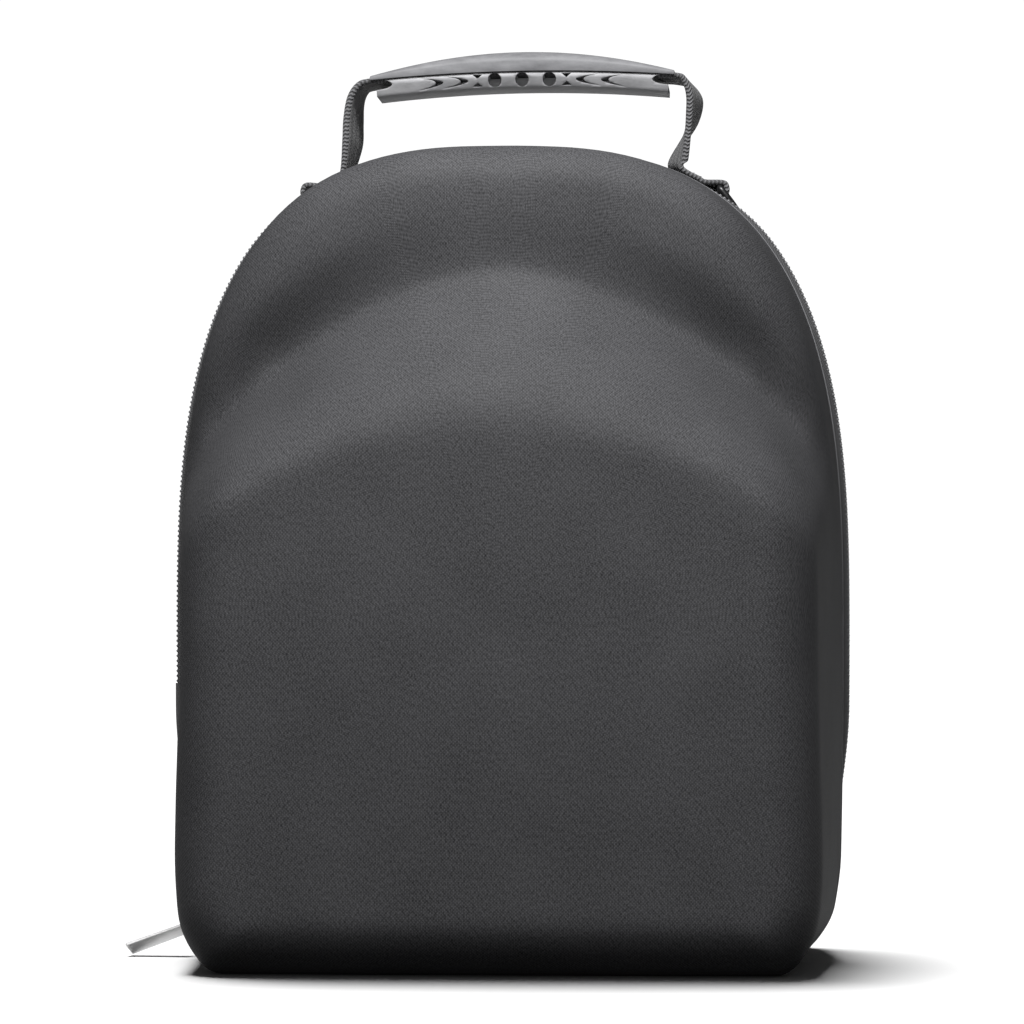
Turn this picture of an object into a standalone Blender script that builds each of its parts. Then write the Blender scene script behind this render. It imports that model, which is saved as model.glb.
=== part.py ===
"""Hard case that carries baseball caps: two moulded shells, a zip round them and a handle on top.

Metres, +Z up. The case stands on its flat bottom with its deep front towards -Y, and the origin is
on the floor under the middle of its footprint. Depths are measured from a shell's own rim.
"""

import math
from collections import namedtuple

import bmesh
import bpy
from mathutils import Matrix, Vector

MM = 0.001
DEGREE = math.pi / 180
WELD_DISTANCE = 0.001 * MM

# Outline of the case at the shells' rims
HALF_WIDTH = 125 * MM
RIM_TOP = 306 * MM
WIDEST_HEIGHT = 125 * MM
DOME_POWER = 2.9
FOOT_TAPER = 1.5 * MM
CORNER_RADIUS = 22 * MM

# Both shells
SHELL_WALL = 4 * MM
RIM_LIP = 6 * MM
TOP_DRAFT = 4.5 * DEGREE
SIDE_DRAFT = 7.5 * DEGREE
FOOT_DRAFT = 5 * DEGREE
MOST_EDGE = 0.8

# Front shell: the deep crown, and the arched peak face above it
CROWN_DEPTH = 100 * MM
CROWN_DOMING = 3 * MM
CROWN_HALF_WIDTH = 155 * MM
CROWN_TOP = 257 * MM
CROWN_SHOULDER_HEIGHT = 100 * MM
CROWN_POWER = 1.7
CROWN_TOP_SLOPE = 66 * MM
CROWN_SIDE_SLOPE = 22 * MM
SLOPE_TURN = 3
VALLEY_POWER = 1.5
SHOULDER_POWER = 2.6
CROWN_EDGE_RADIUS = 22 * MM
PEAK_DEPTH = 62 * MM
PEAK_SIDE_FALL = 22 * MM
PEAK_EDGE_RADIUS = 16 * MM

# Back shell
BACK_DEPTH = 62 * MM
BACK_DOMING = 2 * MM
BACK_EDGE_RADIUS = 18 * MM

# Zip band between the shells
ZIP_Y = 19 * MM
BAND_HALF = 8 * MM
BAND_BULGE = 3.5 * MM
CORNER_SINK = 5 * MM
BULGE_FADE_LOW = 35 * MM
BULGE_FADE_HIGH = 95 * MM
TAPE_THICKNESS = 1 * MM
TAPE_TUCK = 5 * MM
TAPE_RISE = 0.6
CHAIN_WIDTH = 4.8 * MM
CHAIN_THICKNESS = 2.4 * MM
GAP = 0.3 * MM

# Slider at the lower left corner
SLIDER_ANGLE = 28 * DEGREE
SLIDER_LENGTH = 9 * MM
SLIDER_WIDTH = 9 * MM
SLIDER_PLATE = 1.4 * MM
SLIDER_UNDER_GAP = 1 * MM
SLIDER_POST_LENGTH = 2 * MM
SLIDER_POST_WIDTH = 3.4 * MM
BRIDGE_WIDTH = 1.6 * MM
BRIDGE_LENGTH = 6 * MM
BRIDGE_BAR = 1 * MM
BRIDGE_OPENING = 3 * MM

# Pull tab
PULL_THICKNESS = 1 * MM
PULL_BAR = 1.2 * MM
PULL_NECK_LENGTH = 6.2 * MM
PULL_NECK_WIDTH = 7.2 * MM
PULL_NECK_ARM = 1.2 * MM
PULL_PLATE_LENGTH = 22.5 * MM
PULL_ROOT_WIDTH = 8.4 * MM
PULL_TIP_WIDTH = 9.6 * MM
PULL_ROLL = 26 * DEGREE

# Fabric tab on the left of the band
TAB_LOW = 79 * MM
TAB_HIGH = 104 * MM
TAB_THICKNESS = 0.8 * MM

# Handle: grip in two halves, over one length of webbing
HANDLE_DEPTH = 18 * MM
HANDLE_SHIFT = 3 * MM
GRIP_TILT = 0.7 * DEGREE
GRIP_LENGTH = 117 * MM
GRIP_WIDTH = 30 * MM
GRIP_RISE = 32.4 * MM
GRIP_PARTING_SAG = 2.4 * MM
GRIP_TOP_HEIGHT = 8.6 * MM
GRIP_TOP_SAG = 8.6 * MM
GRIP_BOTTOM_HEIGHT = 5.4 * MM
GRIP_BOTTOM_SAG = 3.1 * MM
GRIP_EDGE_RADIUS = 2.2 * MM
GRIP_SHOULDER = 0.45
GRIP_ROUNDING = 0.6
NOTCH_LENGTH = 8.5 * MM
NOTCH_HEIGHT = 5.6 * MM
NOTCH_DROP = 1.9 * MM
RECESS_DEPTH = 1.8 * MM
HOLE_RADIUS = 2.6 * MM
HOLE_PITCH = 10.5 * MM
WEDGE_PLACE = 17.1 * MM
WEDGE_WIDTH = 4 * MM
WEDGE_HEIGHT = 1.5 * MM
CRESCENT_PLACES = (20.7 * MM, 30.3 * MM)
CRESCENT_LENGTH = 9.8 * MM
CRESCENT_THICKNESS = 3 * MM
CRESCENT_MARGIN = 0.5 * MM
STRAP_WIDTH = 25 * MM
STRAP_THICKNESS = 2 * MM
STRAP_REACH = 8.5 * MM
STRAP_FOOT_LEFT = 64 * MM
STRAP_FOOT_RIGHT = 62 * MM
STRAP_FOOT_BEND = 4 * MM

# Rings in the webbing's folded ends
RING_PLACE = 76 * MM
RING_WIRE = 1.25 * MM
RING_LENGTH = 14 * MM
RING_SHOULDER = 3.5 * MM
RING_CONTACT = 8.7 * MM

# Mesh density
BASE_COLUMNS = 4
CORNER_COLUMNS = 6
SIDE_COLUMNS = 5
DOME_COLUMNS = 15
FRONT_ROWS = 16
BACK_ROWS = 10
PROFILE_SAMPLES = 300
SAMPLE_CROWDING = 3
BEND_WEIGHT = 25 * MM
TAB_ROWS = 5
GRIP_SPANS = 12
PATH_STEPS = 2
ROUND_SIDES = 14

FRONT_RIM_Y = ZIP_Y - BAND_HALF
BACK_RIM_Y = ZIP_Y + BAND_HALF
HANDLE_Y = BACK_RIM_Y + HANDLE_DEPTH
GRIP_PARTING = RIM_TOP + GRIP_RISE
GRIP_TOP = GRIP_PARTING + GRIP_TOP_HEIGHT
GRIP_BOTTOM = GRIP_PARTING - GRIP_BOTTOM_HEIGHT
CORNER_X = HALF_WIDTH - FOOT_TAPER - CORNER_RADIUS
FRONT = -1
BACK = 1

Rim = namedtuple("Rim", "x z normal_x normal_z")
Station = namedtuple("Station", "centre across out")
Bend = namedtuple("Bend", "outward height twist")
Wall = namedtuple("Wall", "point tangent lateral normal")

# Webbing from the grip's end down to its sewn foot: outward as a share of STRAP_REACH, height as a
# share of the drop from the grip to the shell, twist in degrees
STRAP_BENDS_LEFT = (
    Bend(outward=0.05, height=1.00, twist=0),
    Bend(outward=0.50, height=0.96, twist=1),
    Bend(outward=0.85, height=0.84, twist=3),
    Bend(outward=1.00, height=0.64, twist=5),
    Bend(outward=1.00, height=0.42, twist=6),
)
STRAP_BENDS_RIGHT = (
    Bend(outward=0.05, height=1.00, twist=0),
    Bend(outward=0.35, height=0.97, twist=3),
    Bend(outward=0.58, height=0.86, twist=6),
    Bend(outward=0.62, height=0.66, twist=3),
    Bend(outward=0.50, height=0.42, twist=-8),
)

# The webbing's run in the grip as shares of half its length, its sewn layers as shares of the run
# from the bend at its foot to the ring, and its turns round the ring's bar in degrees
CHANNEL_PLACES = (-0.85, -0.5, 0.0, 0.5, 0.85)
SEWN_UPPER = (-0.1, 0.25, 0.5)
SEWN_LOWER = (0.6, 0.25, -0.1)
LOOP_TURNS = (100, 55, 10, -35, -80)


def blend(low, high, share):
    """Value between two others, at a share of the way."""
    return low + (high - low) * share


def ease(share):
    """Smooth step from 0 to 1, flat at both ends."""
    share = min(max(share, 0.0), 1.0)
    return share * share * (3 - 2 * share)


def clear_scene():
    """Remove whatever the file holds, and make the two collections."""
    for thing in list(bpy.data.objects):
        bpy.data.objects.remove(thing, do_unlink=True)
    for name in ("cap_case", "cutters"):
        bpy.context.scene.collection.children.link(bpy.data.collections.new(name))


def make_material(name, colour, roughness, metallic=0.0):
    """Plain Principled material."""
    material = bpy.data.materials.new(name)
    material.use_nodes = True
    shader = material.node_tree.nodes["Principled BSDF"]
    shader.inputs["Base Color"].default_value = (*colour, 1.0)
    shader.inputs["Roughness"].default_value = roughness
    shader.inputs["Metallic"].default_value = metallic
    return material


def add_object(name, mesh, material, collection="cap_case"):
    """Link a mesh as one named object."""
    piece = bpy.data.objects.new(name, mesh)
    if material:
        mesh.materials.append(material)
    bpy.data.collections[collection].objects.link(piece)
    return piece


def weld(mesh, closed):
    """Merge a mesh's doubled points, and turn a closed body's faces outwards."""
    work = bmesh.new()
    work.from_mesh(mesh)
    bmesh.ops.remove_doubles(work, verts=work.verts, dist=WELD_DISTANCE)
    if closed:
        bmesh.ops.recalc_face_normals(work, faces=work.faces)
    work.to_mesh(mesh)
    work.free()
    return mesh


def mesh_from_faces(name, points, faces, closed=False):
    """Mesh from points and faces."""
    mesh = bpy.data.meshes.new(name)
    mesh.from_pydata([tuple(point) for point in points], [], faces)
    return weld(mesh, closed)


def as_cutter(piece):
    """Keep a cutter out of the model."""
    piece.hide_render = True
    piece.display_type = "WIRE"
    return piece


def cut(piece, cutter, operation="DIFFERENCE"):
    """Exact Boolean of a piece with a cutter."""
    modifier = piece.modifiers.new(operation.lower(), "BOOLEAN")
    modifier.operation = operation
    modifier.object = cutter
    modifier.solver = "EXACT"


def smooth_by_angle(piece, angle=35 * DEGREE):
    """Shade round forms smooth and keep hard edges sharp."""
    piece.data.shade_smooth()
    piece.data.set_sharp_from_angle(angle=angle)


def thicken(piece, thickness, offset):
    """Give an open surface its wall."""
    modifier = piece.modifiers.new("wall", "SOLIDIFY")
    modifier.thickness = thickness
    modifier.offset = offset
    modifier.use_even_offset = True
    modifier.use_quality_normals = True


def dome_point(angle):
    """Point of the domed outline in one direction from the middle of the widest line."""
    across = abs(math.cos(angle)) / HALF_WIDTH
    up = abs(math.sin(angle)) / (RIM_TOP - WIDEST_HEIGHT)
    reach = (across ** DOME_POWER + up ** DOME_POWER) ** (-1 / DOME_POWER)
    return reach * math.cos(angle), WIDEST_HEIGHT + reach * math.sin(angle)


def corner_point(angle):
    """Point of the right lower corner's arc, at an angle below the horizontal."""
    return CORNER_X + CORNER_RADIUS * math.cos(angle), CORNER_RADIUS * (1 - math.sin(angle))


def side_point(share):
    """Point of the right side, from the corner's arc up to the widest line."""
    x = HALF_WIDTH - FOOT_TAPER * (1 - share) ** 2
    return x, blend(CORNER_RADIUS, WIDEST_HEIGHT, share)


def rim_outline():
    """Points and outward normals of the rims, anticlockwise from the middle of the base."""
    half = [(CORNER_X * step / BASE_COLUMNS, 0.0) for step in range(BASE_COLUMNS)]
    quarter = math.pi / 2
    half += [corner_point(quarter * (1 - step / CORNER_COLUMNS)) for step in range(CORNER_COLUMNS)]
    half += [side_point(step / SIDE_COLUMNS) for step in range(SIDE_COLUMNS)]
    half += [dome_point(quarter * step / DOME_COLUMNS) for step in range(DOME_COLUMNS + 1)]
    points = half + [(-x, z) for x, z in reversed(half[1:-1])]
    rims = []
    for index, (x, z) in enumerate(points):
        before = points[index - 1]
        after = points[(index + 1) % len(points)]
        run = Vector((after[0] - before[0], after[1] - before[1])).normalized()
        rims.append(Rim(x, z, run.y, -run.x))
    return rims


def band_bulge(z):
    """How far the zip's teeth stand out from the shells' rims, at a height."""
    share = ease((z - BULGE_FADE_LOW) / (BULGE_FADE_HIGH - BULGE_FADE_LOW))
    return blend(-CORNER_SINK, BAND_BULGE, share)


def wall_draft(rim):
    """Angle at which a shell's wall leans in, from the way that its rim faces."""
    side = blend(FOOT_DRAFT, SIDE_DRAFT, ease(rim.z / WIDEST_HEIGHT))
    top = TOP_DRAFT if rim.normal_z > 0 else 0.0
    return side * rim.normal_x ** 2 + top * rim.normal_z ** 2


def crown_share(x, z):
    """How far a place has climbed from the valley round the crown: 0 outside it, 1 on the crown."""
    rise = max(z - CROWN_SHOULDER_HEIGHT, 0.0)
    from_middle = math.hypot(x, rise)
    if from_middle < CROWN_SIDE_SLOPE:
        return 1.0
    across = abs(x) / CROWN_HALF_WIDTH
    up = rise / (CROWN_TOP - CROWN_SHOULDER_HEIGHT)
    reach = (across ** CROWN_POWER + up ** CROWN_POWER) ** (1 / CROWN_POWER)
    within = from_middle * (1 / reach - 1)
    slope = blend(CROWN_SIDE_SLOPE, CROWN_TOP_SLOPE, (rise / from_middle) ** SLOPE_TURN)
    climb = min(max(within / slope, 0.0), 1.0)
    return 1 - (1 - climb ** VALLEY_POWER) ** SHOULDER_POWER


def front_face(x, z):
    """Depth of the front face and radius of the edge beside it, at a place."""
    share = crown_share(x, z)
    across = x / HALF_WIDTH
    crown = CROWN_DEPTH - CROWN_DOMING * (across ** 2 + (z / CROWN_TOP - 0.5) ** 2)
    peak = PEAK_DEPTH - PEAK_SIDE_FALL * across ** 2
    return blend(peak, crown, share), blend(PEAK_EDGE_RADIUS, CROWN_EDGE_RADIUS, share)


def back_face(x, z):
    """Depth of the back face and radius of its edge, at a place."""
    doming = BACK_DOMING * ((x / HALF_WIDTH) ** 2 + (z / RIM_TOP - 0.5) ** 2)
    return BACK_DEPTH - doming, BACK_EDGE_RADIUS


def edge_height(inset, full, radius, draft):
    """Depth at an inset from the rim, where a leaning wall rounds over to a face of full depth."""
    radius = min(radius, MOST_EDGE * full)
    face_start = (full - radius) * math.tan(draft) + radius / math.cos(draft)
    wall_end = face_start - radius * math.cos(draft)
    if inset >= face_start:
        return full
    if inset <= wall_end:
        return inset / math.tan(draft) if draft > 0 else full - radius
    return full - radius + math.sqrt(radius ** 2 - (face_start - inset) ** 2)


def shell_profile(rim, face, rows):
    """Points from the rim to the middle of the face, closest together where the wall bends."""
    to_middle = Vector((-rim.x, WIDEST_HEIGHT - rim.z))
    square = abs(to_middle.normalized() @ Vector((rim.normal_x, rim.normal_z)))
    draft = wall_draft(rim)
    dense = []
    for sample in range(PROFILE_SAMPLES + 1):
        share = (sample / PROFILE_SAMPLES) ** SAMPLE_CROWDING
        x = rim.x + to_middle.x * share
        z = rim.z + to_middle.y * share
        full, radius = face(x, z)
        inset = to_middle.length * share * square
        depth = RIM_LIP + edge_height(inset, full - RIM_LIP, radius, draft)
        dense.append(Vector((x, z, depth)))
    dense.insert(0, Vector((rim.x, rim.z, RIM_LIP)))
    measure = [0.0]
    heading = Vector((0, 0, 1))
    for low, high in zip(dense, dense[1:]):
        step = high - low
        turn = heading.angle(step, 0.0) if step.length > 0 else 0.0
        heading = step if step.length > 0 else heading
        measure.append(measure[-1] + step.length + BEND_WEIGHT * turn)
    profile = [Vector((rim.x, rim.z, 0.0)), dense[0]]
    index = 1
    for row in range(1, rows):
        wanted = measure[-1] * row / rows
        while measure[index] < wanted:
            index += 1
        span = measure[index] - measure[index - 1]
        share = (wanted - measure[index - 1]) / span
        profile.append(dense[index - 1].lerp(dense[index], share))
    return profile + [dense[-1]]


def build_shell(name, material, face, rows, rim_y, side):
    """Moulded shell: wall, rounded edge and face from the rim to the middle, then its thickness."""
    rims = rim_outline()
    points = []
    for rim in rims:
        for x, z, depth in shell_profile(rim, face, rows):
            points.append((x, rim_y + side * depth, z))
    per_column = rows + 2
    faces = []
    for column in range(len(rims)):
        here = column * per_column
        there = (column + 1) % len(rims) * per_column
        for row in range(per_column - 1):
            corners = (here + row, there + row, there + row + 1, here + row + 1)
            faces.append(corners if side == FRONT else corners[::-1])
    piece = add_object(name, mesh_from_faces(name, points, faces), material)
    smooth_by_angle(piece)
    thicken(piece, SHELL_WALL, -1)
    return piece


def band_rims():
    """The stretch of the outline that the zip follows, from the right lower corner to the left."""
    return rim_outline()[BASE_COLUMNS:-BASE_COLUMNS + 1]


def band_point(rim, offset, y):
    """Place at a distance out from the rims' outline."""
    return Vector((rim.x + rim.normal_x * offset, y, rim.z + rim.normal_z * offset))


def tape_section(rim):
    """Offsets and distances from the zip's middle across one tape, from its sewn edge to the teeth."""
    sewn = -(SHELL_WALL + GAP + TAPE_THICKNESS / 2)
    teeth = band_bulge(rim.z) - CHAIN_THICKNESS / 2
    inner = CHAIN_WIDTH / 2 + GAP + TAPE_THICKNESS / 2
    return (
        (sewn, BAND_HALF + TAPE_TUCK),
        (sewn, BAND_HALF - TAPE_THICKNESS),
        (blend(sewn, teeth, TAPE_RISE), (BAND_HALF + inner) / 2),
        (teeth, inner),
    )


def build_sheet(name, material, columns, thickness):
    """Open sheet through columns of points, given its thickness both ways."""
    per_column = len(columns[0])
    points = [point for column in columns for point in column]
    faces = []
    for column in range(len(columns) - 1):
        for row in range(per_column - 1):
            here = column * per_column + row
            faces.append((here, here + per_column, here + per_column + 1, here + 1))
    piece = add_object(name, mesh_from_faces(name, points, faces), material)
    smooth_by_angle(piece)
    thicken(piece, thickness, 0)
    return piece


def build_tape(name, material, side):
    """One tape of the zip, sewn inside a shell's rim and rising to the teeth."""
    columns = []
    for rim in band_rims():
        columns.append([band_point(rim, offset, ZIP_Y + side * away) for offset, away in tape_section(rim)])
    return build_sheet(name, material, columns, TAPE_THICKNESS)


def strip_mesh(name, stations):
    """Closed bar of oblong section through stations."""
    points = []
    for centre, across, out in stations:
        points += [centre - across - out, centre + across - out, centre + across + out, centre - across + out]
    faces = [(3, 2, 1, 0)]
    for index in range(len(stations) - 1):
        for corner in range(4):
            here = index * 4 + corner
            beside = index * 4 + (corner + 1) % 4
            faces.append((here, beside, beside + 4, here + 4))
    last = len(points) - 4
    faces.append((last, last + 1, last + 2, last + 3))
    return mesh_from_faces(name, points, faces, closed=True)


def slider_rim(extra_angle=0.0):
    """Place on the left corner's arc where the slider stands, or a little further round."""
    angle = SLIDER_ANGLE + extra_angle
    x, z = corner_point(angle)
    return Rim(-x, z, -math.cos(angle), -math.sin(angle))


def build_chain(material):
    """The closed teeth, from the right lower corner round to the slider."""
    past_post = (SLIDER_LENGTH / 2 - SLIDER_POST_LENGTH - GAP) / CORNER_RADIUS
    last = slider_rim(past_post)
    rims = [rim for rim in band_rims() if rim.x > 0 or rim.z > last.z + GAP]
    stations = []
    for rim in rims + [last]:
        centre = band_point(rim, band_bulge(rim.z) - CHAIN_THICKNESS / 2, ZIP_Y)
        out = Vector((rim.normal_x, 0, rim.normal_z)) * CHAIN_THICKNESS / 2
        stations.append(Station(centre, Vector((0, CHAIN_WIDTH / 2, 0)), out))
    return add_object("zip_chain", strip_mesh("zip_chain", stations), material)


def build_hinge_strip(material):
    """Fabric along the bottom that joins the shells between the zip's ends."""
    bpy.ops.mesh.primitive_cube_add(size=1)
    piece = bpy.context.object
    piece.name = "hinge_strip"
    piece.data.name = "hinge_strip"
    size = (2 * CORNER_X - 4 * GAP, 2 * (BAND_HALF + TAPE_TUCK), TAPE_THICKNESS)
    piece.data.transform(Matrix.Diagonal((*size, 1)))
    piece.location = (0, ZIP_Y, SHELL_WALL + GAP + TAPE_THICKNESS / 2)
    piece.data.materials.append(material)
    move_to("cap_case", piece)
    return piece


def move_to(collection, piece):
    """Put an object in one collection alone."""
    for home in list(piece.users_collection):
        home.objects.unlink(piece)
    bpy.data.collections[collection].objects.link(piece)


def box_part(name, low, high, frame):
    """Box between two corners of a frame, as a mesh object for a join."""
    mesh = bpy.data.meshes.new(name)
    work = bmesh.new()
    bmesh.ops.create_cube(work, size=1)
    size = Vector(high) - Vector(low)
    middle = (Vector(high) + Vector(low)) / 2
    bmesh.ops.scale(work, vec=size, verts=work.verts)
    bmesh.ops.translate(work, vec=middle, verts=work.verts)
    work.to_mesh(mesh)
    work.free()
    piece = add_object(name, mesh, None, "cutters")
    piece.matrix_world = frame
    return as_cutter(piece)


def frame_matrix(origin, x_axis, y_axis, z_axis):
    """World matrix from an origin and three axes."""
    matrix = Matrix((x_axis, y_axis, z_axis)).transposed().to_4x4()
    matrix.translation = origin
    return matrix


def slider_frame():
    """Slider's frame: X up along the teeth, Z out of the case, origin on the teeth's outer face."""
    rim = slider_rim()
    out = Vector((rim.normal_x, 0, rim.normal_z))
    along = Vector((rim.normal_z, 0, -rim.normal_x))
    return frame_matrix(band_point(rim, band_bulge(rim.z), ZIP_Y), along, out.cross(along), out)


def hinge_height():
    """Height of the pull's hinge above the teeth."""
    return GAP + SLIDER_PLATE + BRIDGE_OPENING / 2


def build_slider(material):
    """Slider: two plates either side of the teeth, the post between them and the bridge on top."""
    frame = slider_frame()
    half = SLIDER_LENGTH / 2
    wide = SLIDER_WIDTH / 2
    under = -CHAIN_THICKNESS - SLIDER_UNDER_GAP
    top = GAP + SLIDER_PLATE
    bridge_top = top + BRIDGE_OPENING
    plate = box_part("slider_outer_plate", (-half, -wide, GAP), (half, wide, top), frame)
    body = bpy.data.objects.new("zip_slider", plate.data.copy())
    body.data.name = "zip_slider"
    body.matrix_world = frame
    body.data.materials.append(material)
    bpy.data.collections["cap_case"].objects.link(body)
    bpy.data.objects.remove(plate)
    leg = BRIDGE_LENGTH / 2
    inside = leg - BRIDGE_BAR
    narrow = BRIDGE_WIDTH / 2
    post = SLIDER_POST_WIDTH / 2
    post_end = -half + SLIDER_POST_LENGTH
    sink = SLIDER_PLATE / 2
    bar_length = leg - GAP
    bar_width = narrow - GAP / 2
    bar_top = bridge_top + BRIDGE_BAR
    boxes = (
        ("slider_inner_plate", (-half, -wide, under - SLIDER_PLATE), (half, wide, under)),
        ("slider_post", (-half, -post, under - sink), (post_end, post, top - sink)),
        ("bridge_low_leg", (-leg, -narrow, top - sink), (-inside, narrow, bridge_top + sink)),
        ("bridge_high_leg", (inside, -narrow, top - sink), (leg, narrow, bridge_top + sink)),
        ("bridge_bar", (-bar_length, -bar_width, bridge_top), (bar_length, bar_width, bar_top)),
    )
    for name, low, high in boxes:
        cut(body, box_part(name, low, high, frame), "UNION")
    return body


def pull_slope(height):
    """Slope at which the tab's lower corner just clears the floor, from its hinge's height."""
    length = PULL_NECK_LENGTH + PULL_PLATE_LENGTH
    below = PULL_TIP_WIDTH / 2 * math.sin(PULL_ROLL) + PULL_THICKNESS / 2 * math.cos(PULL_ROLL)
    return math.asin((height - GAP) / math.hypot(length, below)) - math.atan2(below, length)


def pull_frame():
    """Pull's frame: origin on its hinge, X along the tab to its tip, Y along the hinge."""
    slider = slider_frame()
    hinge = slider @ Vector((0, 0, hinge_height()))
    slope = pull_slope(hinge.z)
    along = Vector((-math.cos(slope), 0, -math.sin(slope)))
    face = Vector((-math.sin(slope), 0, math.cos(slope)))
    roll = Matrix.Rotation(PULL_ROLL, 3, along)
    across = roll @ Vector((0, -1, 0))
    face = roll @ face
    return frame_matrix(hinge, along, across, face)


def flat_curve(name, outlines, half_thickness):
    """Flat outline, with holes where there are more than one, as a mesh with its thickness."""
    curve = bpy.data.curves.new(name, "CURVE")
    curve.dimensions = "2D"
    curve.fill_mode = "BOTH"
    curve.extrude = half_thickness
    for outline in outlines:
        spline = curve.splines.new("POLY")
        spline.points.add(len(outline) - 1)
        for point, (x, y) in zip(spline.points, outline):
            point.co = (x, y, 0, 1)
        spline.use_cyclic_u = True
    return curve_to_mesh(name, curve)


def curve_to_mesh(name, curve):
    """Mesh of a curve, with its caps welded on."""
    holder = bpy.data.objects.new(name, curve)
    bpy.context.scene.collection.objects.link(holder)
    bpy.context.view_layer.update()
    evaluated = holder.evaluated_get(bpy.context.evaluated_depsgraph_get())
    mesh = bpy.data.meshes.new_from_object(evaluated)
    mesh.name = name
    bpy.data.objects.remove(holder)
    bpy.data.curves.remove(curve)
    return weld(mesh, closed=True)


def build_pull(material):
    """Flat pull tab with an eye at its root, whose bar lies in the slider's bridge."""
    neck = PULL_NECK_WIDTH / 2
    root = PULL_ROOT_WIDTH / 2
    tip = PULL_TIP_WIDTH / 2
    bar = PULL_BAR / 2
    end = PULL_NECK_LENGTH + PULL_PLATE_LENGTH
    half_outline = ((-bar, neck), (PULL_NECK_LENGTH, neck), (PULL_NECK_LENGTH, root), (end, tip))
    outline = half_outline + tuple((x, -y) for x, y in reversed(half_outline))
    eye = neck - PULL_NECK_ARM
    hole = ((bar, eye), (PULL_NECK_LENGTH - bar, eye), (PULL_NECK_LENGTH - bar, -eye), (bar, -eye))
    piece = add_object("zip_pull", flat_curve("zip_pull", (outline, hole), PULL_THICKNESS / 2), material)
    piece.matrix_world = pull_frame()
    return piece


def build_tab(material):
    """Plain fabric tab on the front tape, from the front shell's rim to the teeth."""
    lift = TAPE_THICKNESS / 2 + GAP + TAB_THICKNESS / 2
    columns = []
    for row in range(TAB_ROWS):
        z = blend(TAB_LOW, TAB_HIGH, row / (TAB_ROWS - 1))
        x, _ = side_point((z - CORNER_RADIUS) / (WIDEST_HEIGHT - CORNER_RADIUS))
        rim = Rim(-x, z, -1.0, 0.0)
        middle, inner = [Vector(place) for place in tape_section(rim)[2:]]
        slant = (inner - middle).normalized()
        over_teeth = band_bulge(z) + 2 * GAP + TAB_THICKNESS / 2
        places = (
            (middle.x - slant.y * lift, middle.y + slant.x * lift),
            (over_teeth, CHAIN_WIDTH / 2 + GAP),
            (over_teeth, 0),
        )
        columns.append([band_point(rim, offset, ZIP_Y + FRONT * away) for offset, away in places])
    return build_sheet("side_tab", material, columns, TAB_THICKNESS)


def grip_frame():
    """Grip's frame: origin at the handle's middle on the floor, tilted about its own middle."""
    middle = Matrix.Translation((0, 0, GRIP_PARTING))
    turned = middle @ Matrix.Rotation(-GRIP_TILT, 4, "Y") @ middle.inverted()
    return Matrix.Translation((HANDLE_SHIFT, HANDLE_Y, 0)) @ turned


def grip_arch(height, sag, x):
    """Height of one of the grip's arched lines, at a distance along from its middle."""
    return height - sag * (2 * x / GRIP_LENGTH) ** 2


def bar_mesh(name, sections):
    """Closed bar through rings of points that all have the same number of points."""
    count = len(sections[0])
    points = [point for section in sections for point in section]
    faces = [tuple(range(count)), tuple(range(len(points) - 1, len(points) - count - 1, -1))]
    for index in range(len(sections) - 1):
        for corner in range(count):
            here = index * count + corner
            beside = index * count + (corner + 1) % count
            faces.append((here, here + count, beside + count, beside))
    return mesh_from_faces(name, points, faces, closed=True)


def grip_stations(length):
    """Distances along the grip, evenly over a length about its middle."""
    return [length * (step / GRIP_SPANS - 0.5) for step in range(GRIP_SPANS + 1)]


def grip_top_section(x):
    """Section of the upper half: flat below, low sides and a rounded back."""
    wide = GRIP_WIDTH / 2
    low = grip_arch(GRIP_PARTING, GRIP_PARTING_SAG, x) + GAP / 2
    high = grip_arch(GRIP_TOP, GRIP_TOP_SAG, x)
    shoulder = blend(low, high, GRIP_SHOULDER)
    arc = 6
    section = [Vector((x, -wide, low)), Vector((x, wide, low))]
    for step in range(arc + 1):
        angle = math.pi * step / arc
        round_out = math.copysign(abs(math.cos(angle)) ** GRIP_ROUNDING, math.cos(angle))
        section.append(Vector((x, wide * round_out, blend(shoulder, high, math.sin(angle)))))
    return section


def grip_bottom_section(x):
    """Section of the lower half: flat above, upright sides and rounded lower edges."""
    wide = GRIP_WIDTH / 2
    high = grip_arch(GRIP_PARTING, GRIP_PARTING_SAG, x) - GAP / 2
    low = grip_arch(GRIP_BOTTOM, GRIP_BOTTOM_SAG, x)
    arc = 3
    right = []
    for step in range(arc + 1):
        angle = math.pi / 2 * step / arc
        y = wide - GRIP_EDGE_RADIUS * (1 - math.cos(angle))
        z = low + GRIP_EDGE_RADIUS * (1 - math.sin(angle))
        right.append(Vector((x, y, z)))
    left = [Vector((x, -point.y, point.z)) for point in reversed(right)]
    return [Vector((x, wide, high))] + right + left + [Vector((x, -wide, high))]


def upright_prism(work, outline, y_middle, half_thickness):
    """Add a prism to a mesh, from an outline of x and z and with its length along Y."""
    rings = []
    for y in (y_middle - half_thickness, y_middle + half_thickness):
        rings.append([work.verts.new((x, y, z)) for x, z in outline])
    count = len(outline)
    work.faces.new(rings[0])
    work.faces.new(rings[1][::-1])
    for corner in range(count):
        after = (corner + 1) % count
        work.faces.new((rings[0][after], rings[0][corner], rings[1][corner], rings[1][after]))


def ellipse(x_middle, z_middle, x_radius, z_radius):
    """Outline of an ellipse."""
    turns = [2 * math.pi * step / ROUND_SIDES for step in range(ROUND_SIDES)]
    return [(x_middle + x_radius * math.cos(turn), z_middle + z_radius * math.sin(turn)) for turn in turns]


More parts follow.
